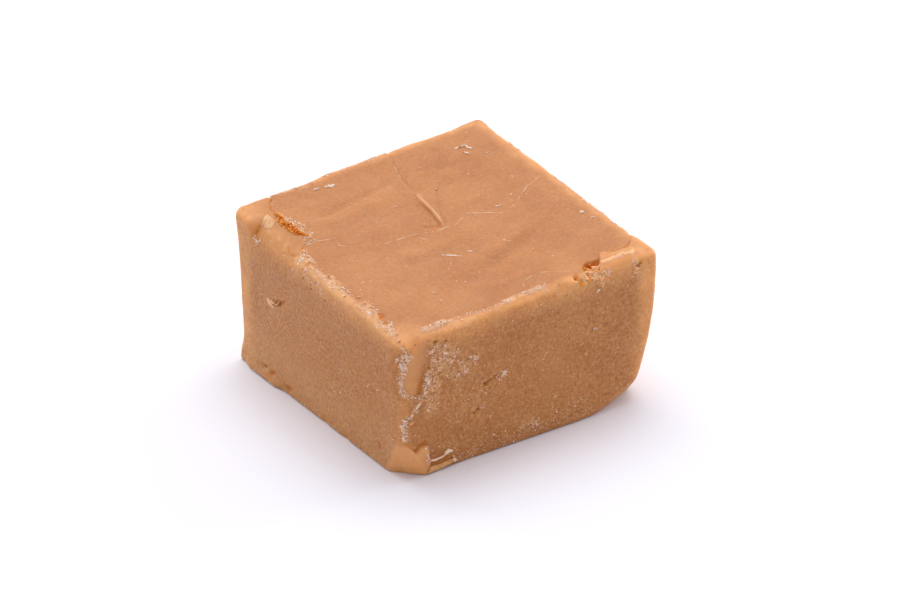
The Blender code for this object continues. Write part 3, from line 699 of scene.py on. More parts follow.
def fine_surface():
    """The block's surface in millimetres: rounded, leaned, knocked off, then carved and roughened."""
    lines = [spaced_lines(stops) for stops in (LINES_X, LINES_Y, LINES_Z)]
    points, faces = box_skin(*lines, FOOT_BAND)
    points, outward = rounded(points)
    shaped = knocked_off(leaned(points))
    marks = {name: np.zeros(len(points)) for name in MARKS}
    marks["grain"] = grain_share(shaped, outward)
    shaped, smear = smeared_ledge(shaped)
    left, right, back_left, back_right = wall_shares(outward)
    x, y, z = shaped.T
    above_foot = ramp(z, 0.0, 1.0)
    lift = top_relief(shaped, marks) * ramp(outward[:, 2], 0.0, 0.7)
    for name in ("torn", "umber", "pale", "smooth", "edge"):
        marks[name] *= ramp(outward[:, 2], 0.02, 0.3)
    in_x = left_wall_depth(shaped, marks, left)
    in_y = right_wall_depth(shaped, marks, right)
    level = top_level(x, y)
    in_x -= pits(shaped, y, z, PITS_BACK_RIGHT, marks, back_right)
    in_x -= bites(y, z, level, BITES_BACK_RIGHT) * back_right
    in_y -= pits(shaped, x, z, PITS_BACK_LEFT, marks, back_left)
    in_y -= bites(x, z, level, BITES_BACK_LEFT) * back_left
    calm = 1.0 - 0.8 * marks["smooth"]
    rough = sum(high * cloud(shaped, size, 80 + n) for n, (size, high) in enumerate(UNEVEN))
    rough = rough * above_foot * calm + edge_relief(shaped, outward, marks) * calm
    for added in grained_relief(shaped, marks):
        rough += added
    raise_mark(marks, "smooth", 0.6 * smear)
    # Painted glow on the rims, corners and the walls' ends
    marks["edge"] = np.clip(np.maximum(painted_edge_glow(shaped, outward, smear), marks["edge"]), 0.0, 1.0)
    raise_mark(marks, "grain", 0.14 * right * (1.0 - marks["smooth"]))
    cut_off = (shaped[:, :2] @ CUT_OFF_WAY - CUT_OFF_REACH - CUT_OFF_LEAN * z) * 2.0
    cut_off = np.clip(cut_off, 0, 1) * (1.0 - ramp(z, *CUT_OFF_END))
    raise_mark(marks, "smooth", cut_off)
    # Painted light on the cut-off corner's facet
    raise_mark(marks, "edge", 0.55 * cut_off)
    # Painted sheen: the dry mark is full on the left wall, most on the back-left wall and partial on the
    # top
    marks["dry"] = np.maximum.reduce([left, 0.8 * back_left, 0.35 * np.clip(outward[:, 2], 0, 1)])
    marks["dry"] *= 1.0 - cut_off
    # Painted light: the left wall paler towards its foot, where light bounces up from the floor
    raise_mark(marks, "pale", 0.18 * left * ramp(z, 9.0, 2.0) * (1.0 - cut_off))
    raise_mark(marks, "torn", 0.5 * hill(np.linalg.norm(shaped - TORN_SPOT, axis=1), TORN_SPOT_REACH))
    sideways = np.maximum(np.abs(outward[:, 0]), np.abs(outward[:, 1]))
    marks["wall"] = ramp(sideways, 0.4, 0.95) * (1.0 - 0.6 * marks["smooth"])
    marks["wall"] = marks["wall"] * (1.0 - 0.5 * marks["edge"])
    shaped = shaped + outward * (rough * above_foot)[:, None]
    shaped[:, 0] += in_x
    shaped[:, 1] += in_y
    shaped[:, 2] += lift
    shaped[:, 2] = np.where(points[:, 2] < 1e-6, 0.0, np.maximum(shaped[:, 2], 0.0))
    return shaped, faces, outward, marks


def mesh_piece(name, points, faces, material, smooth=True, marks=None):
    """Object from millimetre points, with its finish, its marks as point attributes and its body."""
    mesh = bpy.data.meshes.new(name)
    mesh.from_pydata((np.asarray(points) * MM).tolist(), [], faces)
    for mark, values in (marks or {}).items():
        layer = mesh.attributes.new(mark, "FLOAT", "POINT")
        layer.data.foreach_set("value", np.asarray(values, np.float32))
    mesh.polygons.foreach_set("use_smooth", np.full(len(mesh.polygons), smooth))
    mesh.materials.append(material)
    mesh.update()
    piece = bpy.data.objects.new(name, mesh)
    bpy.context.scene.collection.objects.link(piece)
    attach(piece, "root")
    return piece


def new_material(name):
    """Empty node material and its shader."""
    material = bpy.data.materials.new(name)
    material.use_nodes = True
    return material, material.node_tree, material.node_tree.nodes["Principled BSDF"]


def blend_colour(tree, share, first, second):
    """Mix node between two colours, each a colour or a socket."""
    mix = tree.nodes.new("ShaderNodeMix")
    mix.data_type = "RGBA"
    tree.links.new(share, mix.inputs[0])
    for socket, value in ((mix.inputs[6], first), (mix.inputs[7], second)):
        if isinstance(value, tuple):
            socket.default_value = (*value, 1.0)
        else:
            tree.links.new(value, socket)
    return mix.outputs[2]


def ramp_node(tree, value, low, high, start=0.0, end=1.0):
    """Map a value from low..high to start..end, smoothly."""
    node = tree.nodes.new("ShaderNodeMapRange")
    node.interpolation_type = "SMOOTHSTEP"
    tree.links.new(value, node.inputs["Value"])
    for label, number in (("From Min", low), ("From Max", high), ("To Min", start), ("To Max", end)):
        node.inputs[label].default_value = number
    return node.outputs["Result"]


def noise_node(tree, place, size, detail=2.0, roughness=0.5):
    """Noise on object coordinates with features about `size` millimetres across."""
    node = tree.nodes.new("ShaderNodeTexNoise")
    tree.links.new(place, node.inputs["Vector"])
    node.inputs["Scale"].default_value = 1.0 / (size * MM)
    node.inputs["Detail"].default_value = detail
    node.inputs["Roughness"].default_value = roughness
    return node.outputs["Fac"]


def math_node(tree, operation, first, second):
    """Arithmetic on two values, each a number or a socket."""
    node = tree.nodes.new("ShaderNodeMath")
    node.operation = operation
    for socket, value in zip(node.inputs, (first, second)):
        if isinstance(value, (int, float)):
            socket.default_value = value
        else:
            tree.links.new(value, socket)
    return node.outputs[0]


def mark_node(tree, name):
    """Value of one of the surface's marks."""
    node = tree.nodes.new("ShaderNodeAttribute")
    node.attribute_name = name
    return node.outputs["Fac"]


def flecks(tree, place, size, radius, share):
    """1 inside small spots: one spot in each cell of `size`, kept in a share of the cells."""
    cells = tree.nodes.new("ShaderNodeTexVoronoi")
    tree.links.new(place, cells.inputs["Vector"])
    cells.inputs["Scale"].default_value = 1.0 / (size * MM)
    spot = ramp_node(tree, cells.outputs["Distance"], radius * 0.6, radius, 1.0, 0.0)
    split = tree.nodes.new("ShaderNodeSeparateColor")
    tree.links.new(cells.outputs["Color"], split.inputs[0])
    kept = math_node(tree, "LESS_THAN", split.outputs[0], share)
    return math_node(tree, "MULTIPLY", spot, kept)


# Colours of the fudge and of the floor
FUDGE_TAN = (0.540, 0.214, 0.066)
FUDGE_PALE_TAN = (0.60, 0.262, 0.094)
FUDGE_DEEP_TAN = (0.462, 0.166, 0.046)
# Painted sheen: a greyer, bluer tan for the surfaces that catch the pale light from the left and above
FUDGE_SHEEN_GREY = (0.530, 0.226, 0.088)
# Painted light: the glow and highlight of the rims, corners and lit facets, laid on by the edge mark
EDGE_GLOW = (1.0, 0.49, 0.19)
TORN_AMBER = (0.80, 0.265, 0.020)
# Painted shade in the gaps between the sugar grains
GRAIN_GAP_SHADE = (0.42, 0.115, 0.012)
# Painted shade in grooves, pits, seams and gaps, laid on by the umber mark
UMBER_SHADE = (0.30, 0.075, 0.006)
FINE_PALE = (0.70, 0.345, 0.150)
FINE_DEEP = (0.365, 0.098, 0.012)
# Painted light: the walls made warmer and less blue by how much they face sideways, standing in for the
# light that falls on them
WALL_LIGHT_TINT = (0.985, 0.955, 0.76)
DRY_PALE = (0.93, 0.58, 0.34)
NUT_SKIN = (0.30, 0.088, 0.02)
FLOOR_COLOUR = (0.925, 0.93, 1.0, 1.0)


def fudge_finish():
    """Satin tan fudge: cloudy in colour, speckled with nut skin and sugar, amber where it is torn, with
    painted glow on its rims, painted shade in its hollows, and a painted sheen and light tint on its
    walls.
    """
    material, tree, shader = new_material("fudge")
    place = tree.nodes.new("ShaderNodeTexCoord").outputs["Object"]
    broad = ramp_node(tree, noise_node(tree, place, 7.0, 4.0, 0.55), 0.36, 0.64)
    colour = blend_colour(tree, broad, FUDGE_DEEP_TAN, FUDGE_PALE_TAN)
    level = ramp_node(tree, noise_node(tree, place, 2.2, 3.0), 0.3, 0.7, 0.35, 0.75)
    colour = blend_colour(tree, level, colour, FUDGE_TAN)
    # Painted sheen: the dry mark turns the left and back-left walls and part of the top greyer and bluer
    dry = math_node(tree, "MULTIPLY", mark_node(tree, "dry"), 0.6)
    colour = blend_colour(tree, dry, colour, FUDGE_SHEEN_GREY)
    fine = noise_node(tree, place, 0.40, 4.0, 0.75)
    strength = ramp_node(tree, mark_node(tree, "wall"), 0.0, 1.0, 0.32, 0.82)
    for low, high, tone in ((0.50, 0.66, FINE_PALE), (0.48, 0.34, FINE_DEEP)):
        share = math_node(tree, "MULTIPLY", ramp_node(tree, fine, low, high), strength)
        colour = blend_colour(tree, share, colour, tone)
    # Painted glow and highlight where the edge mark is set
    colour = blend_colour(tree, mark_node(tree, "edge"), colour, EDGE_GLOW)
    colour = blend_colour(tree, flecks(tree, place, 0.9, 0.13, 0.22), colour, NUT_SKIN)
    colour = blend_colour(tree, flecks(tree, place, 0.62, 0.11, 0.10), colour, DRY_PALE)
    # Pale sugar spots in the grain, and painted shade in the gaps between them
    spots = noise_node(tree, place, 0.26, 2.0, 0.6)
    for low, high, most, tone in ((0.50, 0.62, 0.8, DRY_PALE), (0.48, 0.36, 0.85, GRAIN_GAP_SHADE)):
        share = ramp_node(tree, spots, low, high, 0.0, most)
        share = math_node(tree, "MULTIPLY", mark_node(tree, "grain"), share)
        colour = blend_colour(tree, share, colour, tone)
    # pale and torn are the fudge's own colours; umber is painted shade in its hollows
    for mark, tone in (("pale", DRY_PALE), ("torn", TORN_AMBER), ("umber", UMBER_SHADE)):
        colour = blend_colour(tree, mark_node(tree, mark), colour, tone)
    # Painted light tint on the walls, by the wall mark
    tint = blend_colour(tree, mark_node(tree, "wall"), (1.0, 1.0, 1.0), WALL_LIGHT_TINT)
    tinted = tree.nodes.new("ShaderNodeMix")
    tinted.data_type = "RGBA"
    tinted.blend_type = "MULTIPLY"
    tinted.inputs[0].default_value = 1.0
    tree.links.new(colour, tinted.inputs[6])
    tree.links.new(tint, tinted.inputs[7])
    tree.links.new(tinted.outputs[2], shader.inputs["Base Color"])
    gloss = noise_node(tree, place, 1.4, 3.0)
    tree.links.new(ramp_node(tree, gloss, 0.3, 0.7, 0.44, 0.60), shader.inputs["Roughness"])
    shader.inputs["Subsurface Weight"].default_value = 0.6
    shader.inputs["Subsurface Radius"].default_value = (0.85, 0.50, 0.25)
    shader.inputs["Subsurface Scale"].default_value = 1.7 * MM
    shader.inputs["Specular IOR Level"].default_value = 0.35
    bump = tree.nodes.new("ShaderNodeBump")
    bump.inputs["Strength"].default_value = 1.0
    bump.inputs["Distance"].default_value = 0.11 * MM
    rough = math_node(tree, "MULTIPLY", noise_node(tree, place, 0.38, 3.0, 0.7),
                      ramp_node(tree, mark_node(tree, "wall"), 0.0, 1.0, 0.5, 1.0))
    tree.links.new(rough, bump.inputs["Height"])
    tree.links.new(bump.outputs["Normal"], shader.inputs["Normal"])
    return material


# Crumbs, flakes and lines: colour, the one that it drifts to and how far, roughness, and shine
CRUMB_LOOKS = {
    "tan crumbs": ((0.98, 0.56, 0.28), (0.90, 0.40, 0.14), 0.8, 0.5, 0.35),
    "dry crumbs": ((1.0, 0.80, 0.65), (1.0, 0.64, 0.43), 0.8, 0.5, 0.35),
    "sugar": ((1.0, 0.74, 0.55), (0.94, 0.52, 0.28), 0.9, 0.4, 0.35),
    "sugar clots": ((1.0, 0.64, 0.43), (0.84, 0.38, 0.15), 1.0, 0.45, 0.35),
    "amber crumbs": ((0.95, 0.42, 0.06), (0.80, 0.24, 0.02), 0.9, 0.35, 0.35),
    "nut skin": ((0.34, 0.11, 0.03), (0.20, 0.055, 0.015), 0.8, 0.6, 0.05),
    "pale line": ((0.94, 0.66, 0.46), (0.80, 0.44, 0.24), 0.6, 0.5, 0.35),
    "white scratch": ((0.93, 0.78, 0.66), (0.85, 0.60, 0.42), 0.6, 0.4, 0.35),
    "white sugar": ((1.0, 0.80, 0.66), (1.0, 0.70, 0.52), 0.8, 0.4, 0.35),
    "straw sliver": ((0.84, 0.46, 0.18), (0.72, 0.32, 0.09), 0.9, 0.5, 0.35),
    "dry flakes": ((1.0, 0.76, 0.57), (0.98, 0.60, 0.37), 0.7, 0.5, 0.35),
    "honey flakes": ((0.86, 0.46, 0.21), (0.92, 0.57, 0.32), 0.8, 0.5, 0.35),
    "cream chip": ((0.80, 0.42, 0.20), (0.90, 0.56, 0.33), 0.8, 0.5, 0.35),
    "fold strip": ((0.72, 0.34, 0.13), (0.64, 0.27, 0.085), 0.8, 0.5, 0.35),
    "back curl": ((0.66, 0.28, 0.09), (0.80, 0.42, 0.18), 0.8, 0.5, 0.35),
}


def crumb_finish(name):
    """Crumbs of one colour that drifts towards another from crumb to crumb."""
    colour, other, spread, gloss, shine = CRUMB_LOOKS[name]
    material, tree, shader = new_material(name)
    place = tree.nodes.new("ShaderNodeTexCoord").outputs["Object"]
    drift = ramp_node(tree, noise_node(tree, place, 0.9, 2.0), 0.35, 0.65, 0.0, spread)
    tree.links.new(blend_colour(tree, drift, colour, other), shader.inputs["Base Color"])
    tree.links.new(ramp_node(tree, noise_node(tree, place, 0.4), 0.3, 0.7, gloss, gloss + 0.15),
                   shader.inputs["Roughness"])
    shader.inputs["Specular IOR Level"].default_value = shine
    return material


def floor_finish():
    """Plain near-white paper."""
    material, _, shader = new_material("floor")
    shader.inputs["Base Color"].default_value = FLOOR_COLOUR
    shader.inputs["Roughness"].default_value = 0.9
    shader.inputs["Specular IOR Level"].default_value = 0.1
    return material


class Surface:
    """The finished fine surface, for whatever lies on it: points, normals, areas and outward ways."""

    def __init__(self, block, points, faces, outward, marks):
        self.points = points
        self.outward = outward
        self.marks = marks
        normals = np.empty(len(points) * 3)
        block.data.vertices.foreach_get("normal", normals)
        self.normals = normals.reshape(-1, 3)
        quads = np.array(faces[:-1])
        across = points[quads[:, 2]] - points[quads[:, 0]]
        up = points[quads[:, 3]] - points[quads[:, 1]]
        area = 0.5 * np.linalg.norm(np.cross(across, up), axis=1)
        self.area = np.zeros(len(points))
        for corner in range(4):
            np.add.at(self.area, quads[:, corner], 0.25 * area)
        self.area[points[:, 2] < 0.25] = 0.0

    def laid_on(self, places, lift=0.0):
        """Places moved onto the tangent plane of their nearest surface point, and its normal."""
        places = np.asarray(places, float)
        nearest = [int(((self.points - place) ** 2).sum(axis=1).argmin()) for place in places]
        normal = self.normals[nearest]
        off = ((places - self.points[nearest]) * normal).sum(axis=1)
        return places + normal * (lift - off)[:, None], normal

    def drawn_sites(self, chance, count, seed):
        """Numbers of `count` surface points drawn by chance for each square millimetre."""
        weight = self.area * chance
        draw = np.random.default_rng(seed)
        count = min(count, int((weight > 0).sum()))
        return draw.choice(len(weight), size=count, replace=False, p=weight / weight.sum())


def fudge_block(material):
    """The block itself, which stands for the plain solid."""
    points, faces, outward, marks = fine_surface()
    block = mesh_piece("fudge_skin", points, faces, material, marks=marks)
    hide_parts("fudge_block")
    return Surface(block, points, faces, outward, marks)


def globe(rings, around):
    """Ball of rings between two poles, radius 1, with its faces pointing out."""
    tilt = np.linspace(0.0, np.pi, rings + 2)[1:-1]
    turn = np.linspace(0.0, 2.0 * np.pi, around, endpoint=False)
    t, a = np.meshgrid(tilt, turn, indexing="ij")
    a = a + 0.5 * (2.0 * np.pi / around) * (np.arange(rings) % 2)[:, None]
    belt = np.stack([np.sin(t) * np.cos(a), np.sin(t) * np.sin(a), np.cos(t)], axis=-1).reshape(-1, 3)
    points = np.vstack([belt, [[0, 0, 1.0], [0, 0, -1.0]]])
    ids = np.arange(rings * around).reshape(rings, around)
    after = np.roll(ids, -1, axis=1)
    top, low = rings * around, rings * around + 1
    faces = [np.stack([np.full(around, top), ids[0], after[0]], axis=1),
             np.stack([np.full(around, low), after[-1], ids[-1]], axis=1)]
    for ring in range(rings - 1):
        faces.append(np.stack([ids[ring], ids[ring + 1], after[ring + 1]], axis=1))
        faces.append(np.stack([ids[ring], after[ring + 1], after[ring]], axis=1))
    return points, np.concatenate(faces)


def lumps(places, normals, sizes, seed, rings=2, around=5, flat=0.6, sink=0.1, ragged=0.3):
    """Uneven lumps: each is a globe, stretched and turned by drawn values, flattened along its normal."""
    draw = np.random.default_rng(seed)
    shape, faces = globe(rings, around)
    count = len(places)
    aside = np.cross(normals, draw.normal(size=(count, 3)))
    aside /= np.linalg.norm(aside, axis=1)[:, None] + 1e-9
    other = np.cross(normals, aside)
    local = shape[None] * draw.uniform(1.0 - ragged, 1.0 + ragged, (count, len(shape), 1))
    local = local * (0.5 * sizes)[:, None, None] * draw.uniform(0.65, 1.25, (count, 1, 3))
    lean = draw.normal(scale=0.3, size=(count, 1, 2))
    upward = flat * local[:, :, 2] + lean[:, :, 0] * local[:, :, 0] + lean[:, :, 1] * local[:, :, 1]
    points = places[:, None] + local[:, :, :1] * aside[:, None] + local[:, :, 1:2] * other[:, None]
    points = points + (upward + (sink * sizes)[:, None])[:, :, None] * normals[:, None]
    numbers = faces[None] + (np.arange(count) * len(shape))[:, None, None]
    return points.reshape(-1, 3), numbers.reshape(-1, 3)


def joined(parts):
    """One list of points and one of faces from several."""
    points, faces, passed = [], [], 0
    for some_points, some_faces in parts:
        points.append(some_points)
        faces.extend((np.asarray(some_faces) + passed).tolist())
        passed += len(some_points)
    return np.concatenate(points), faces


def resampled(path, count):
    """Places at even steps along a path."""
    path = np.array(path, float)
    lengths = np.concatenate([[0.0], np.cumsum(np.linalg.norm(np.diff(path, axis=0), axis=1))])
    steps = np.linspace(0.0, lengths[-1], count)
    return np.stack([np.interp(steps, lengths, path[:, n]) for n in range(path.shape[1])], axis=1)


def strap(places, normals, widths, thickness, ragged=0.0, seed=1, around=8, blunt=0.25):
    """Flat rounded profile carried along a path, ragged at its sides and closed at both ends."""
    draw = np.random.default_rng(seed)
    count = len(places)
    run = np.gradient(places, axis=0)
    run /= np.linalg.norm(run, axis=1)[:, None] + 1e-12
    aside = np.cross(run, normals)
    aside /= np.linalg.norm(aside, axis=1)[:, None] + 1e-12
    up = np.cross(aside, run)
    share = np.linspace(0.0, 1.0, count)
    ends = np.clip(np.minimum(share, 1.0 - share) / blunt, 0.0, 1.0) ** 0.5
    ends = 0.35 + 0.65 * ends
    turn = np.linspace(0.0, 2.0 * np.pi, around, endpoint=False)
    c, h = np.cos(turn), np.sin(turn)
    c, h = np.sign(c) * np.abs(c) ** 0.7, np.sign(h) * np.abs(h) ** 0.7
    frayed = 1.0 + ragged * draw.uniform(-1.0, 1.0, (count, around))
    across = 0.5 * (np.asarray(widths) * ends)[:, None] * c * frayed
    uneven = 1.0 + 0.5 * ragged * draw.uniform(-1, 1, (count, around))
    rise = 0.5 * (thickness * ends)[:, None] * h * uneven
    ring = places[:, None] + across[..., None] * aside[:, None] + rise[..., None] * up[:, None]
    points = np.vstack([ring.reshape(-1, 3), places[:1], places[-1:]])
    ids = np.arange(count * around).reshape(count, around)
    after = np.roll(ids, -1, axis=1)
    first, last = count * around, count * around + 1
    sides = np.stack([ids[:-1], after[:-1], after[1:], ids[1:]], axis=-1).reshape(-1, 4)
    halves = np.concatenate([sides[:, [0, 1, 2]], sides[:, [0, 2, 3]]])
    caps = [np.stack([np.full(around, first), after[0], ids[0]], axis=1),
            np.stack([np.full(around, last), ids[-1], after[-1]], axis=1)]
    faces = np.concatenate([halves] + caps)
    return points, faces[:, ::-1]


# Whitish rough patches on the rims: path and reach
RIM_PATCHES = ((((-17.1, -1.9, 19.0), (-17.3, -3.0, 18.85), (-17.3, -4.0, 18.75)), 0.4),
               (((-16.9, -8.9, 18.5), (-17.0, -10.6, 18.3), (-17.2, -11.3, 18.2)), 0.4),
               (((-16.9, 3.2, 19.3), (-17.1, 1.4, 19.2)), 0.3),
               (((-17.1, -14.2, 18.05), (-17.3, -15.1, 17.9)), 0.3),
               (((-13.9, -16.75, 18.2), (-12.6, -16.7, 18.3), (-11.4, -16.6, 18.35)), 0.3),
               (((-10.6, -16.9, 18.4), (-9.0, -17.0, 18.4)), 0.24),
               (((-4.4, -17.2, 18.5), (-1.2, -17.0, 18.7), (1.4, -17.0, 18.8)), 0.24),
               (((14.4, -17.8, 19.2), (14.5, -18.0, 18.5)), 0.26),
               (((-12.5, 17.5, 20.9), (-9.5, 17.3, 21.2)), 0.4),
               (((1.2, 17.6, 22.2), (3.4, 17.6, 22.4)), 0.35),
               (((17.6, 3.5, 21.2), (17.6, 1.5, 21.1)), 0.35),
               (((17.5, -6.0, 20.5), (17.5, -9.0, 20.2)), 0.35),
               (((17.6, 11.0, 22.2), (17.6, 9.2, 22.0)), 0.3))

# Crumbs on the rims and edges: path, reach and how thickly they lie there
LEFT_RIM = ((-17.0, 4.6, 19.4), (-17.0, 3.0, 19.3), (-17.1, 0.9, 19.15), (-17.2, -2.4, 18.9),
            (-17.2, -5.9, 18.6), (-16.9, -9.5, 18.45), (-17.1, -11.8, 18.2), (-17.3, -14.0, 18.0))
EDGE_LINE = ((-16.4, -13.3, 18.3), (-17.0, -15.1, 18.1), (-17.5, -16.7, 17.9), (-17.8, -17.4, 16.9),
             (-17.5, -17.6, 15.8), (-17.7, -17.0, 14.8), (-17.5, -17.4, 13.7), (-17.8, -17.0, 12.6),
             (-17.4, -17.4, 11.2), (-16.5, -17.6, 10.4), (-15.2, -17.6, 10.5), (-15.9, -17.7, 9.1),
             (-16.4, -17.7, 8.7), (-16.9, -17.6, 8.0))
CRACK_RIM = ((-14.45, 12.1, 20.2), (-14.2, 10.8, 20.2), (-13.95, 9.5, 20.1), (-13.8, 8.1, 20.0),
             (-13.9, 6.9, 19.9))
LEDGE_END_CRUMBS = ((-14.2, 6.6, 19.9), (-14.7, 6.1, 19.8), (-15.4, 5.2, 19.6), (-16.4, 4.9, 19.3),
                    (-17.2, 3.9, 19.1), (-17.8, 2.4, 18.7))
DRY_PLACES = ((LEFT_RIM, 0.42, 0.22), (EDGE_LINE, 0.2, 0.45), (CRACK_RIM, 0.24, 1.0),
              (LEDGE_END_CRUMBS, 0.45, 1.2),
              (((-17.8, -17.2, 15.0), (-17.6, -17.4, 13.7)), 0.42, 1.0),
              (((-17.4, -17.6, 15.8), (-16.9, -17.8, 15.3), (-16.7, -17.8, 15.7)), 0.26, 0.9),
              (((-17.7, -17.2, 12.6), (-17.4, -17.4, 11.2)), 0.3, 0.9),
              (((-16.4, -17.6, 10.4), (-15.2, -17.6, 10.5), (-14.8, -17.8, 11.6)), 0.3, 0.8),
              (((-14.4, -18.0, 12.9), (-14.5, -17.9, 11.6)), 0.4, 0.9),
              (((18.0, -17.5, 18.0), (17.9, -17.6, 11.0), (17.6, -17.4, 4.0)), 0.4, 0.12),
              (((-17.4, 2.8, 19.2), (-17.9, 1.6, 18.4), (-18.0, 0.5, 17.7)), 0.22, 0.8),
              (((-17.9, 13.4, 18.2), (-17.9, 13.0, 17.5), (-17.7, 12.4, 17.9)), 0.22, 0.8),
              (((-16.2, -8.0, 18.7), (-16.2, -9.1, 18.6), (-16.3, -10.4, 18.5)), 0.25, 0.9),
              (((9.0, -17.4, 18.1), (10.5, -17.3, 18.3), (9.6, -17.8, 17.9)), 0.4, 0.5),
              (((8.6, -16.3, 18.4), (8.4, -17.2, 18.3), (7.9, -17.9, 18.0)), 0.2, 0.4),
              (((11.0, -17.1, 19.4), (12.5, -17.3, 19.6), (14.2, -17.2, 19.7)), 0.12, 0.9),
              (((14.3, -17.7, 19.2), (14.5, -18.0, 18.4)), 0.2, 0.5),
              (((-15.4, -17.7, 9.6), (-16.0, -17.7, 8.8)), 0.34, 0.6),
              (((-16.4, -17.7, 8.4), (-17.0, -17.5, 7.6)), 0.5, 0.2),
              (((-17.2, -17.4, 7.3), (-17.2, -17.4, 6.3), (-17.1, -17.4, 5.2)), 0.28, 0.9),
              (((-14.0, -16.6, 18.2), (-11.8, -16.5, 18.3), (-9.9, -16.7, 18.3), (-7.9, -16.8, 18.3)),
               0.2, 0.5),
              (((-7.9, -16.9, 18.3), (-5.6, -17.2, 18.3), (-1.0, -17.1, 18.7), (2.2, -17.0, 18.8)),
               0.16, 0.35),
              (((-18.0, -0.6, 18.6), (-18.0, -1.3, 17.8), (-18.0, -2.2, 17.0)), 0.3, 0.35),
              (((-14.5, -18.2, 4.2), (-14.15, -18.2, 3.2), (-14.1, -18.2, 1.6)), 0.24, 1.6),
              (((-16.2, -18.0, 3.6), (-15.8, -18.1, 3.3)), 0.2, 1.2),
              (((-17.9, -6.0, 7.4), (-17.9, -5.2, 5.8)), 0.12, 0.6),
              (((-17.9, -7.4, 8.5), (-17.9, -8.0, 7.9)), 0.1, 0.6),
              (((-17.8, -12.7, 9.9), (-17.8, -13.2, 9.6)), 0.14, 0.6),
              (((-17.6, -12.5, 2.9), (-17.6, -13.3, 2.5), (-17.6, -12.9, 1.8)), 0.12, 0.5),
              (((-12.0, 17.4, 20.9), (-9.5, 17.2, 21.2), (-5.0, 17.4, 21.5), (1.0, 17.4, 22.2)),
               0.35, 0.4),
              (((17.4, 3.5, 21.2), (17.4, -0.5, 20.9), (17.3, -6.0, 20.5), (17.2, -12.0, 20.0)),
               0.35, 0.4))
TAN_PLACES = ((LEFT_RIM, 0.5, 0.05), (EDGE_LINE, 0.24, 0.05), (LEDGE_END_CRUMBS, 0.45, 0.1),
              (((8.4, -17.2, 18.2), (9.2, -17.2, 18.1), (10.4, -17.2, 18.3), (9.6, -17.9, 17.9)),
               0.6, 1.6),
              (((14.5, -18.0, 18.3), (14.7, -18.1, 17.6)), 0.4, 0.8),
              (((-15.4, -17.7, 9.6), (-16.0, -17.7, 8.8), (-16.8, -17.6, 7.8), (-17.2, -17.4, 6.3)),
               0.35, 0.08))
SUGAR_PLACES = ((((14.4, -18.0, 18.9), (14.5, -18.0, 18.2), (14.1, -18.0, 17.7)), 0.35, 0.9),
                (((13.9, -18.0, 17.6), (14.6, -18.1, 16.9), (15.2, -18.1, 16.3), (15.5, -18.1, 16.9)),
                 0.3, 0.8),
                (((-13.2, -17.4, 17.9), (-11.4, -17.5, 18.0), (-9.0, -17.7, 17.9)), 0.4, 0.12),
                (((3.0, -17.8, 18.3), (6.0, -17.8, 18.4)), 0.5, 0.1),
                (((-9.8, -17.6, 0.5), (-6.0, -17.9, 0.6), (2.0, -18.1, 0.6), (8.0, -18.2, 0.8)),
                 0.7, 0.22),
                (((-17.9, -12.0, 0.5), (-17.9, -4.0, 0.5), (-17.6, 3.0, 0.5)), 0.4, 0.1))

# Larger flat clots of sugar beside the scoop: their reach, the weights of x, y and z in the distance
# from their middles, and the x and height of each
CLOT_REACH = 0.34
CLOT_STRETCH = (0.8, 0.3, 1.2)
CLOTS = ((-13.4, 16.4), (-11.9, 15.9), (-12.6, 15.3), (-10.8, 14.7), (-12.7, 14.6), (-14.0, 15.8),
         (-9.8, 13.2), (-8.4, 12.9), (-8.0, 13.3), (-11.6, 13.8), (-14.1, 13.4), (-13.2, 13.5),
         (-14.4, 12.4), (-13.5, 12.1), (-11.8, 12.3), (-10.3, 11.5), (-9.4, 11.8), (-14.3, 11.3),
         (-14.7, 10.7), (-14.4, 10.0), (-12.9, 15.9), (-13.9, 14.6), (-3.9, 10.0), (-4.3, 9.6),
         (-7.2, 6.5), (0.6, 1.9))


def strewn_by(surface, places):
    """How thickly crumbs lie, from paths brought onto the surface, with their reach and thickness."""
    share = np.zeros(len(surface.points))
    for path, reach, thickness in places:
        laid, _ = surface.laid_on(path)
        share = np.maximum(share, thickness * near(surface.points, laid, reach))
    return share


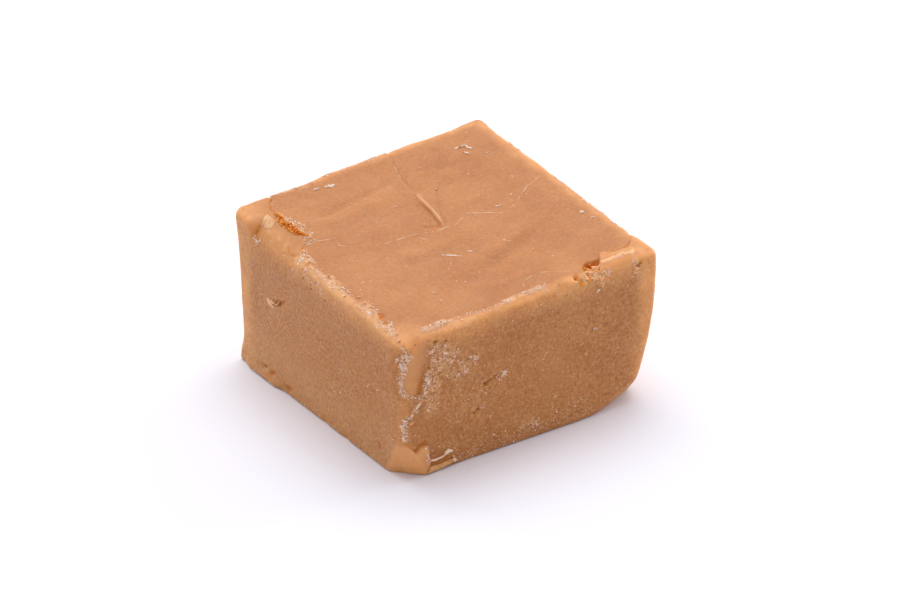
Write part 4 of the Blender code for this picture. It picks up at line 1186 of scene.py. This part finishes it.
def crumb_pieces(surface):
    """Crumbs by kind: amber in the cracks, tan and dry ones along the rims, sugar on the walls."""
    points, outward, marks = surface.points, surface.outward, surface.marks
    tan = crumb_finish("tan crumbs")
    dry = crumb_finish("dry crumbs")
    sugar = crumb_finish("sugar")
    clot = crumb_finish("sugar clots")
    amber = crumb_finish("amber crumbs")
    skin = crumb_finish("nut skin")

    def strewn(name, chance, count, sizes, seed, material, smooth=True, power=2.2, **shape):
        sites = surface.drawn_sites(chance, count, seed)
        draw = np.random.default_rng(seed + 500)
        size = sizes[0] + (sizes[1] - sizes[0]) * draw.uniform(0, 1, len(sites)) ** power
        normals = surface.normals[sites]
        aside = draw.uniform(-0.1, 0.1, normals.shape)
        aside -= (aside * normals).sum(axis=1)[:, None] * normals
        made = lumps(points[sites] + aside, normals, size, seed + 900, **shape)
        mesh_piece(name, made[0], made[1].tolist(), material, smooth=smooth)

    torn = ramp(marks["torn"], 0.5, 0.9) * (outward[:, 2] > 0.1)
    strewn("amber_crumbs", torn, 340, (0.16, 0.46), 11, amber, rings=3, around=6, flat=0.9, sink=0.1)
    strewn("tan_crumbs", strewn_by(surface, TAN_PLACES), 360, (0.14, 0.48), 13, tan, rings=3, around=6,
           flat=0.7, sink=0.02)
    patchy = ramp(cloud(points, 0.8, 18), -0.35, 0.25)
    spots = tuple((path, reach, 0.7) for path, reach in RIM_PATCHES)
    lying = strewn_by(surface, DRY_PLACES + spots)
    strewn("dry_crumbs", patchy * lying, 2700, (0.07, 0.31), 15, dry, power=2.3, rings=2, around=6,
           flat=0.42, sink=0.0)
    wall = ramp(-outward[:, 1], 0.6, 0.9)
    clots = np.zeros(len(points))
    for x, z in CLOTS:
        away = np.linalg.norm((points - [x, -DEPTH / 2, z]) * CLOT_STRETCH, axis=1)
        clots = np.maximum(clots, hill(away, CLOT_REACH))
    clots = clots * wall
    strewn("sugar_clots", clots + 0.12 * marks["grain"] ** 3, 460, (0.12, 0.42), 16, clot, power=2.0,
           rings=3, around=6, flat=0.45, sink=0.0)
    grained = np.clip((marks["grain"] - 0.16) / 0.84, 0.0, 1.0)
    grain = 0.75 * grained * ramp(cloud(points, 0.9, 16), -0.3, 0.5) + 0.8 * clots
    everywhere = 0.012 * (1.0 - marks["smooth"]) * np.where(outward[:, 2] > 0.7, 0.12, 1.0)
    lying = strewn_by(surface, SUGAR_PLACES)
    strewn("sugar_grain", grain + everywhere + lying, 3800, (0.06, 0.2), 17, sugar, smooth=False,
           flat=0.45, sink=0.0)
    strewn("nut_skin", np.where(marks["torn"] > 0.2, 0.0, 1.0), 460, (0.06, 0.17), 19, skin,
           flat=0.1, sink=-0.02)


# Pale hairline across the top, its branches, the crease to the back, and a scratch: x and y, width
HAIRLINES = ((((-14.3, 7.1), (-14.1, 5.6), (-13.0, 5.1), (-12.0, 4.9), (-12.4, 3.1), (-11.3, 2.3)), 0.10),
             (((-7.8, 0.6), (-5.8, 0.5), (-3.6, 0.3), (-2.4, -0.2)), 0.12),
             (((-1.5, -0.6), (0.3, -0.5), (1.1, -0.8), (2.3, -0.1), (2.9, 0.2)), 0.10),
             (((3.9, 0.5), (4.6, 0.2), (5.7, -0.5), (7.5, -1.7)), 0.14),
             (((8.7, -1.2), (9.6, -0.8)), 0.14),
             (((10.3, -0.4), (11.7, 0.5), (13.0, 1.3), (14.7, 2.0), (15.9, 2.5)), 0.10),
             (((1.6, 11.0), (2.0, 12.6), (2.6, 14.2), (3.2, 15.8)), 0.10),
             (((3.6, -7.0), (4.4, -7.3)), 0.08))
SCRATCH = ((-3.95, -5.35), (-3.3, -5.8), (-2.7, -6.3), (-2.1, -6.85))
ARC_THREAD = ((0.1, -15.9), (0.4, -15.3), (0.95, -14.9), (2.2, -14.55), (3.8, -14.85), (5.3, -16.1),
              (6.5, -16.35))

# White sugar flakes on the top: x, y, length and width
WHITE_FLAKES = ((-6.3, 14.9, 0.95, 0.42), (-8.0, 15.2, 0.65, 0.3), (-8.9, 16.3, 0.5, 0.2),
                (11.1, 13.0, 0.5, 0.4), (11.9, 12.8, 0.6, 0.4), (12.2, 12.2, 0.55, 0.3),
                (11.3, 11.5, 0.4, 0.3), (13.7, 10.4, 0.5, 0.2), (15.3, -6.7, 0.6, 0.35),
                (15.6, -8.3, 0.42, 0.3), (5.0, 12.2, 0.22, 0.18), (4.0, 7.2, 0.25, 0.2),
                (13.0, 4.2, 0.22, 0.2), (10.5, 1.0, 0.25, 0.2), (-2.5, 6.4, 0.3, 0.22),
                (7.8, -0.1, 0.4, 0.22), (-3.7, -1.2, 0.24, 0.18), (3.6, -7.0, 0.26, 0.2),
                (-0.8, -6.5, 0.4, 0.26), (3.9, 0.5, 0.24, 0.2), (-8.8, -10.9, 0.45, 0.2),
                (-4.7, -11.2, 0.3, 0.18), (-9.2, -12.7, 0.22, 0.18), (-10.7, -6.9, 0.2, 0.16),
                (-15.5, -6.1, 0.2, 0.16), (-14.4, -5.0, 0.3, 0.14))

# White sugar crystals on the walls: place, length and width
WALL_CRYSTALS = ((9.0, -18.1, 16.6, 0.36, 0.3), (2.1, -17.8, 18.5, 0.26, 0.22),
                 (-17.5, 5.0, 17.3, 0.4, 0.26), (-2.9, -17.9, 16.3, 0.2, 0.16),
                 (-18.0, 5.2, 10.1, 0.2, 0.16), (8.5, -18.2, 11.9, 0.3, 0.18),
                 (8.9, -18.2, 11.8, 0.2, 0.16), (-3.9, -17.9, 10.1, 0.4, 0.26),
                 (-7.2, -17.9, 6.5, 0.3, 0.16), (-12.9, -17.9, 15.2, 0.3, 0.14),
                 (-12.2, -17.9, 14.8, 0.24, 0.14), (-13.7, -17.9, 12.9, 0.3, 0.16),
                 (-8.0, -17.9, 13.4, 0.3, 0.2), (0.6, -18.0, 1.8, 0.34, 0.26),
                 (3.4, -18.1, 2.4, 0.3, 0.2), (-10.0, -17.8, 9.7, 0.22, 0.18),
                 (18.0, 6.0, 9.0, 0.3, 0.2), (18.0, -4.0, 14.0, 0.3, 0.2),
                 (-5.0, 18.1, 8.0, 0.3, 0.22), (7.0, 18.1, 15.0, 0.3, 0.2))


def top_threads(surface):
    """Pale lines on the top: thin flat straps, wandering a little, and thinned in places."""
    pale = crumb_finish("pale line")
    bright = crumb_finish("white scratch")

    def thread(path, width, thickness, seed, wander=0.09):
        length = np.linalg.norm(np.diff(np.array(path), axis=0), axis=1).sum()
        count = max(8, int(length / 0.11))
        places = resampled(path, count)
        flat = np.zeros(count)
        places += wander * np.stack([cloud(np.c_[places, flat], 0.7, seed),
                                     cloud(np.c_[places, flat], 0.7, seed + 10)], axis=1)
        laid, normal = surface.laid_on(np.c_[places, top_level(places[:, 0], places[:, 1])], 0.0)
        strength = ramp(cloud(laid, 0.6, seed + 20), -0.6, 0.3)
        widths = width * (0.2 + 0.8 * strength)
        return strap(laid, normal, widths, thickness * (0.3 + strength), 0.3, seed + 30, 6)

    parts = [thread(path, width, 0.035, 21 + n) for n, (path, width) in enumerate(HAIRLINES)]
    parts.append(thread(ARC_THREAD, 0.12, 0.09, 35, 0.04))
    points, faces = joined(parts)
    mesh_piece("pale_lines", points, faces, pale)
    points, faces = thread(SCRATCH, 0.26, 0.07, 45, 0.05)
    mesh_piece("scratch", points, faces.tolist(), bright)


def white_flakes(surface):
    """Flat white sugar flakes at their places on the top, and crystals on the walls."""
    white = crumb_finish("white sugar")
    table = np.array(WHITE_FLAKES)
    level = top_level(table[:, 0], table[:, 1])
    spots = np.c_[table[:, :2], level, table[:, 2:]]
    spots = np.vstack([spots, WALL_CRYSTALS])
    laid, normal = surface.laid_on(spots[:, :3], 0.02)
    draw = np.random.default_rng(61)
    places, ways, sizes = [], [], []
    for (length, width), middle, way in zip(spots[:, 3:], laid, normal):
        run = np.cross(way, [np.sin(0.6), np.cos(0.6), 0.3])
        run /= np.linalg.norm(run)
        other = np.cross(way, run)
        count = max(4, int(length * width * 60))
        for along_run, across in draw.uniform(-0.5, 0.5, (count, 2)):
            places.append(middle + run * along_run * length + other * across * width)
            ways.append(way)
            sizes.append(draw.uniform(0.6, 1.2) * min(width, 0.3))
    points, faces = lumps(np.array(places), np.array(ways), np.array(sizes), 62, rings=3, around=6,
                          flat=0.28, sink=0.03)
    mesh_piece("white_flakes", points, faces.tolist(), white)


# Torn straps: path, width, thickness. Slivers beside the tongue, and the chips at their ends
SLIVERS = ((((-14.5, -17.9, 0.5), (-13.0, -17.8, 0.45), (-11.8, -17.85, 0.6), (-10.9, -17.9, 0.65)),
            0.5, 0.4),
           (((-14.4, -17.8, 0.85), (-13.2, -17.8, 0.72), (-12.0, -17.85, 0.85), (-11.1, -17.9, 0.95)),
            0.3, 0.3))
SLIVERS_PALE = ((((-14.3, -17.8, 1.85), (-13.3, -17.75, 1.62), (-12.3, -17.8, 1.78),
                  (-11.7, -17.85, 2.1)), 0.22, 0.2),
                (((-12.1, -17.9, 2.0), (-11.6, -18.0, 2.25), (-11.0, -17.95, 2.05)), 0.46, 0.3),
                (((-11.0, -17.9, 0.95), (-10.7, -17.95, 0.8), (-10.6, -17.95, 0.45)), 0.4, 0.3))
# Whitish flakes down the front edge and on the right wall
EDGE_FLAKES = ((((-17.75, -17.1, 14.9), (-17.7, -17.3, 14.3), (-17.5, -17.45, 13.7)), 0.4, 0.14),
               (((-17.8, -17.05, 12.7), (-17.7, -17.2, 12.3), (-17.55, -17.35, 11.9)), 0.24, 0.12),
               (((-17.65, -17.1, 7.3), (-17.5, -17.25, 6.9), (-17.4, -17.35, 6.5)), 0.4, 0.14),
               (((-17.35, -17.3, 5.9), (-17.3, -17.35, 5.5), (-17.2, -17.4, 5.1)), 0.3, 0.14),
               (((-14.5, -17.95, 12.8), (-14.3, -18.0, 12.3), (-14.4, -17.95, 11.8)), 0.44, 0.18),
               (((-15.2, -17.8, 9.8), (-15.5, -17.75, 9.4), (-15.8, -17.75, 9.0)), 0.28, 0.16),
               (((-4.4, -17.95, 9.5), (-4.0, -17.95, 9.9), (-3.7, -17.95, 10.4)), 0.22, 0.12),
               (((-6.2, -17.95, 9.9), (-5.4, -17.95, 10.15), (-4.9, -17.95, 10.1)), 0.1, 0.08))
# Pale striped end of the ledge, and the chip on the left wall
LEDGE_TEETH = ((((-15.6, 13.75, 20.3), (-16.2, 13.5, 20.0), (-16.8, 13.1, 19.5)), 0.3, 0.13),
               (((-15.55, 13.4, 20.2), (-16.2, 13.1, 19.9), (-16.9, 12.7, 19.4)), 0.3, 0.17),
               (((-15.5, 13.05, 20.2), (-16.2, 12.75, 19.9), (-16.8, 12.4, 19.4)), 0.3, 0.17),
               (((-15.5, 12.7, 20.1), (-16.1, 12.4, 19.9), (-16.7, 12.1, 19.4)), 0.3, 0.15),
               (((-15.55, 12.35, 20.1), (-16.0, 12.1, 19.9), (-16.5, 11.85, 19.5)), 0.28, 0.12))
WALL_CHIP = ((((-18.0, 10.3, 11.5), (-18.0, 9.7, 11.2), (-18.0, 9.0, 10.9), (-18.0, 8.7, 11.0)),
              0.5, 0.4),
             (((-18.0, 9.5, 11.6), (-18.0, 9.0, 11.4), (-18.0, 8.6, 11.5)), 0.34, 0.4),
             (((-18.0, 8.7, 11.2), (-18.0, 8.3, 11.4), (-18.0, 8.0, 11.9)), 0.22, 0.26))
FOLD_STRIP = ((((0.7, 5.2, 20.8), (0.6, 4.2, 20.7), (0.5, 3.0, 20.6), (0.25, 1.6, 20.4),
                (0.0, 0.3, 20.3)), 0.2, 0.1),)
BACK_CURL = ((((13.2, 17.7, 23.0), (15.6, 17.8, 23.1), (17.3, 17.4, 23.1), (17.8, 15.6, 22.9)),
              0.26, 0.1),)


def straps(surface, name, table, material, ragged, seed, lift=0.0, steps=14, share=1.0):
    """Torn straps laid on the surface and joined to one piece."""
    parts = []
    for n, (path, width, thickness) in enumerate(table):
        places, normal = surface.laid_on(resampled(path, steps), lift)
        passed = np.linspace(0.0, 1.0, steps)
        widths = share * width * (1.0 + 0.25 * np.sin(5.0 * passed + n))
        parts.append(strap(places, normal, widths, share * thickness, ragged, seed + n, 10))
    points, faces = joined(parts)
    mesh_piece(name, points, faces, material)


def torn_pieces(surface):
    """Slivers at the foot, flakes down the front edge, torn end of the ledge, chip and fold strip."""
    straw = crumb_finish("straw sliver")
    dry = crumb_finish("dry flakes")
    honey = crumb_finish("honey flakes")
    cream = crumb_finish("cream chip")
    strip = crumb_finish("fold strip")
    rust = crumb_finish("back curl")
    straps(surface, "slivers", SLIVERS, straw, 0.14, 71, lift=0.1)
    straps(surface, "pale_slivers", SLIVERS_PALE, dry, 0.25, 76, lift=0.1)
    straps(surface, "edge_flakes", EDGE_FLAKES, dry, 0.8, 81, lift=-0.02, share=0.75)
    straps(surface, "ledge_teeth", LEDGE_TEETH, honey, 0.25, 101, lift=-0.02, share=1.2)
    straps(surface, "wall_chip", WALL_CHIP, cream, 0.2, 111, lift=0.08)
    straps(surface, "fold_strip", FOLD_STRIP, strip, 0.1, 121, lift=0.0, steps=30)
    straps(surface, "back_curl", BACK_CURL, rust, 0.2, 131, lift=0.02)


# Surroundings' colour, their strength before and behind the block, and the way in plan that leads
# behind it
WORLD_COLOUR = (0.926, 0.931, 1.0, 1.0)
WORLD_FRONT = 0.43
WORLD_BEHIND = 0.865
BEHIND_WAY = (0.57, 0.82)

# How far the floor reaches, and each lamp: place, size, power and colour, all in metres and watts
FLOOR_REACH = 3.0
LAMPS = (("overhead softbox", (0.07, 0.12, 0.5), 0.45, 1.65, (1.0, 0.985, 0.95)),
         ("back left softbox", (-0.10, 0.42, 0.14), 0.22, 0.36, (1.0, 0.98, 0.95)),
         ("back right softbox", (0.44, -0.01, 0.14), 0.22, 0.62, (1.0, 0.98, 0.95)))


def soft_light(name, place, size, power, colour):
    """Square softbox at a place, facing the block."""
    lamp = bpy.data.lights.new(name, "AREA")
    lamp.size = size
    lamp.energy = power
    lamp.color = colour
    holder = bpy.data.objects.new(name, lamp)
    holder.location = place
    holder.rotation_euler = (-Vector(place)).to_track_quat("-Z", "Y").to_euler()
    bpy.context.scene.collection.objects.link(holder)


def studio():
    """White surroundings, brighter behind the block, softboxes, and a pale floor."""
    world = bpy.data.worlds.new("white room")
    world.use_nodes = True
    tree = world.node_tree
    way = tree.nodes.new("ShaderNodeSeparateXYZ")
    tree.links.new(tree.nodes.new("ShaderNodeTexCoord").outputs["Generated"], way.inputs[0])
    along_x, along_y = [math_node(tree, "MULTIPLY", way.outputs[axis], share)
                        for axis, share in zip("XY", BEHIND_WAY)]
    behind = math_node(tree, "ADD", along_x, along_y)
    background = tree.nodes["Background"]
    background.inputs["Color"].default_value = WORLD_COLOUR
    strength = ramp_node(tree, behind, -1.0, 1.0, WORLD_FRONT, WORLD_BEHIND)
    tree.links.new(strength, background.inputs["Strength"])
    bpy.context.scene.world = world
    for name, place, size, power, colour in LAMPS:
        soft_light(name, place, size, power, colour)
    mesh = bpy.data.meshes.new("floor")
    corners = [(x * FLOOR_REACH, y * FLOOR_REACH, 0.0) for x, y in ((-1, -1), (1, -1), (1, 1), (-1, 1))]
    mesh.from_pydata(corners, [], [(0, 1, 2, 3)])
    mesh.materials.append(floor_finish())
    floor = bpy.data.objects.new("floor", mesh)
    bpy.context.scene.collection.objects.link(floor)


def camera():
    """Camera on its line through the block: turned, raised and moved off the middle."""
    turn, rise = np.radians(CAMERA_TURN), np.radians(CAMERA_RISE)
    back = np.array([np.sin(turn) * np.cos(rise), -np.cos(turn) * np.cos(rise), np.sin(rise)])
    right = np.array([np.cos(turn), np.sin(turn), 0.0])
    up = np.cross(back, right)
    aim = CAMERA_RIGHT * right + CAMERA_UP * up
    lens = bpy.data.cameras.new("camera")
    lens.lens = CAMERA_LENS
    lens.clip_start = 0.01
    holder = bpy.data.objects.new("camera", lens)
    holder.location = Vector((aim + CAMERA_DISTANCE * back) * MM)
    holder.rotation_euler = Vector(-back).to_track_quat("-Z", "Y").to_euler()
    bpy.context.scene.collection.objects.link(holder)
    bpy.context.scene.camera = holder


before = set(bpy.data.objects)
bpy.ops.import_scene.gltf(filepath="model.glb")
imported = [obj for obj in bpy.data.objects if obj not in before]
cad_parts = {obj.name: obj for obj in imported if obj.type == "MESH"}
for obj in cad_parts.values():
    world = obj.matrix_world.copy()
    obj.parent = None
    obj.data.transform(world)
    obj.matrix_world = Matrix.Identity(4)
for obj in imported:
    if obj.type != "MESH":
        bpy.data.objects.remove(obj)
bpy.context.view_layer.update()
surface = fudge_block(fudge_finish())
crumb_pieces(surface)
top_threads(surface)
white_flakes(surface)
torn_pieces(surface)
studio()
camera()
bpy.context.scene.view_settings.view_transform = "Standard"
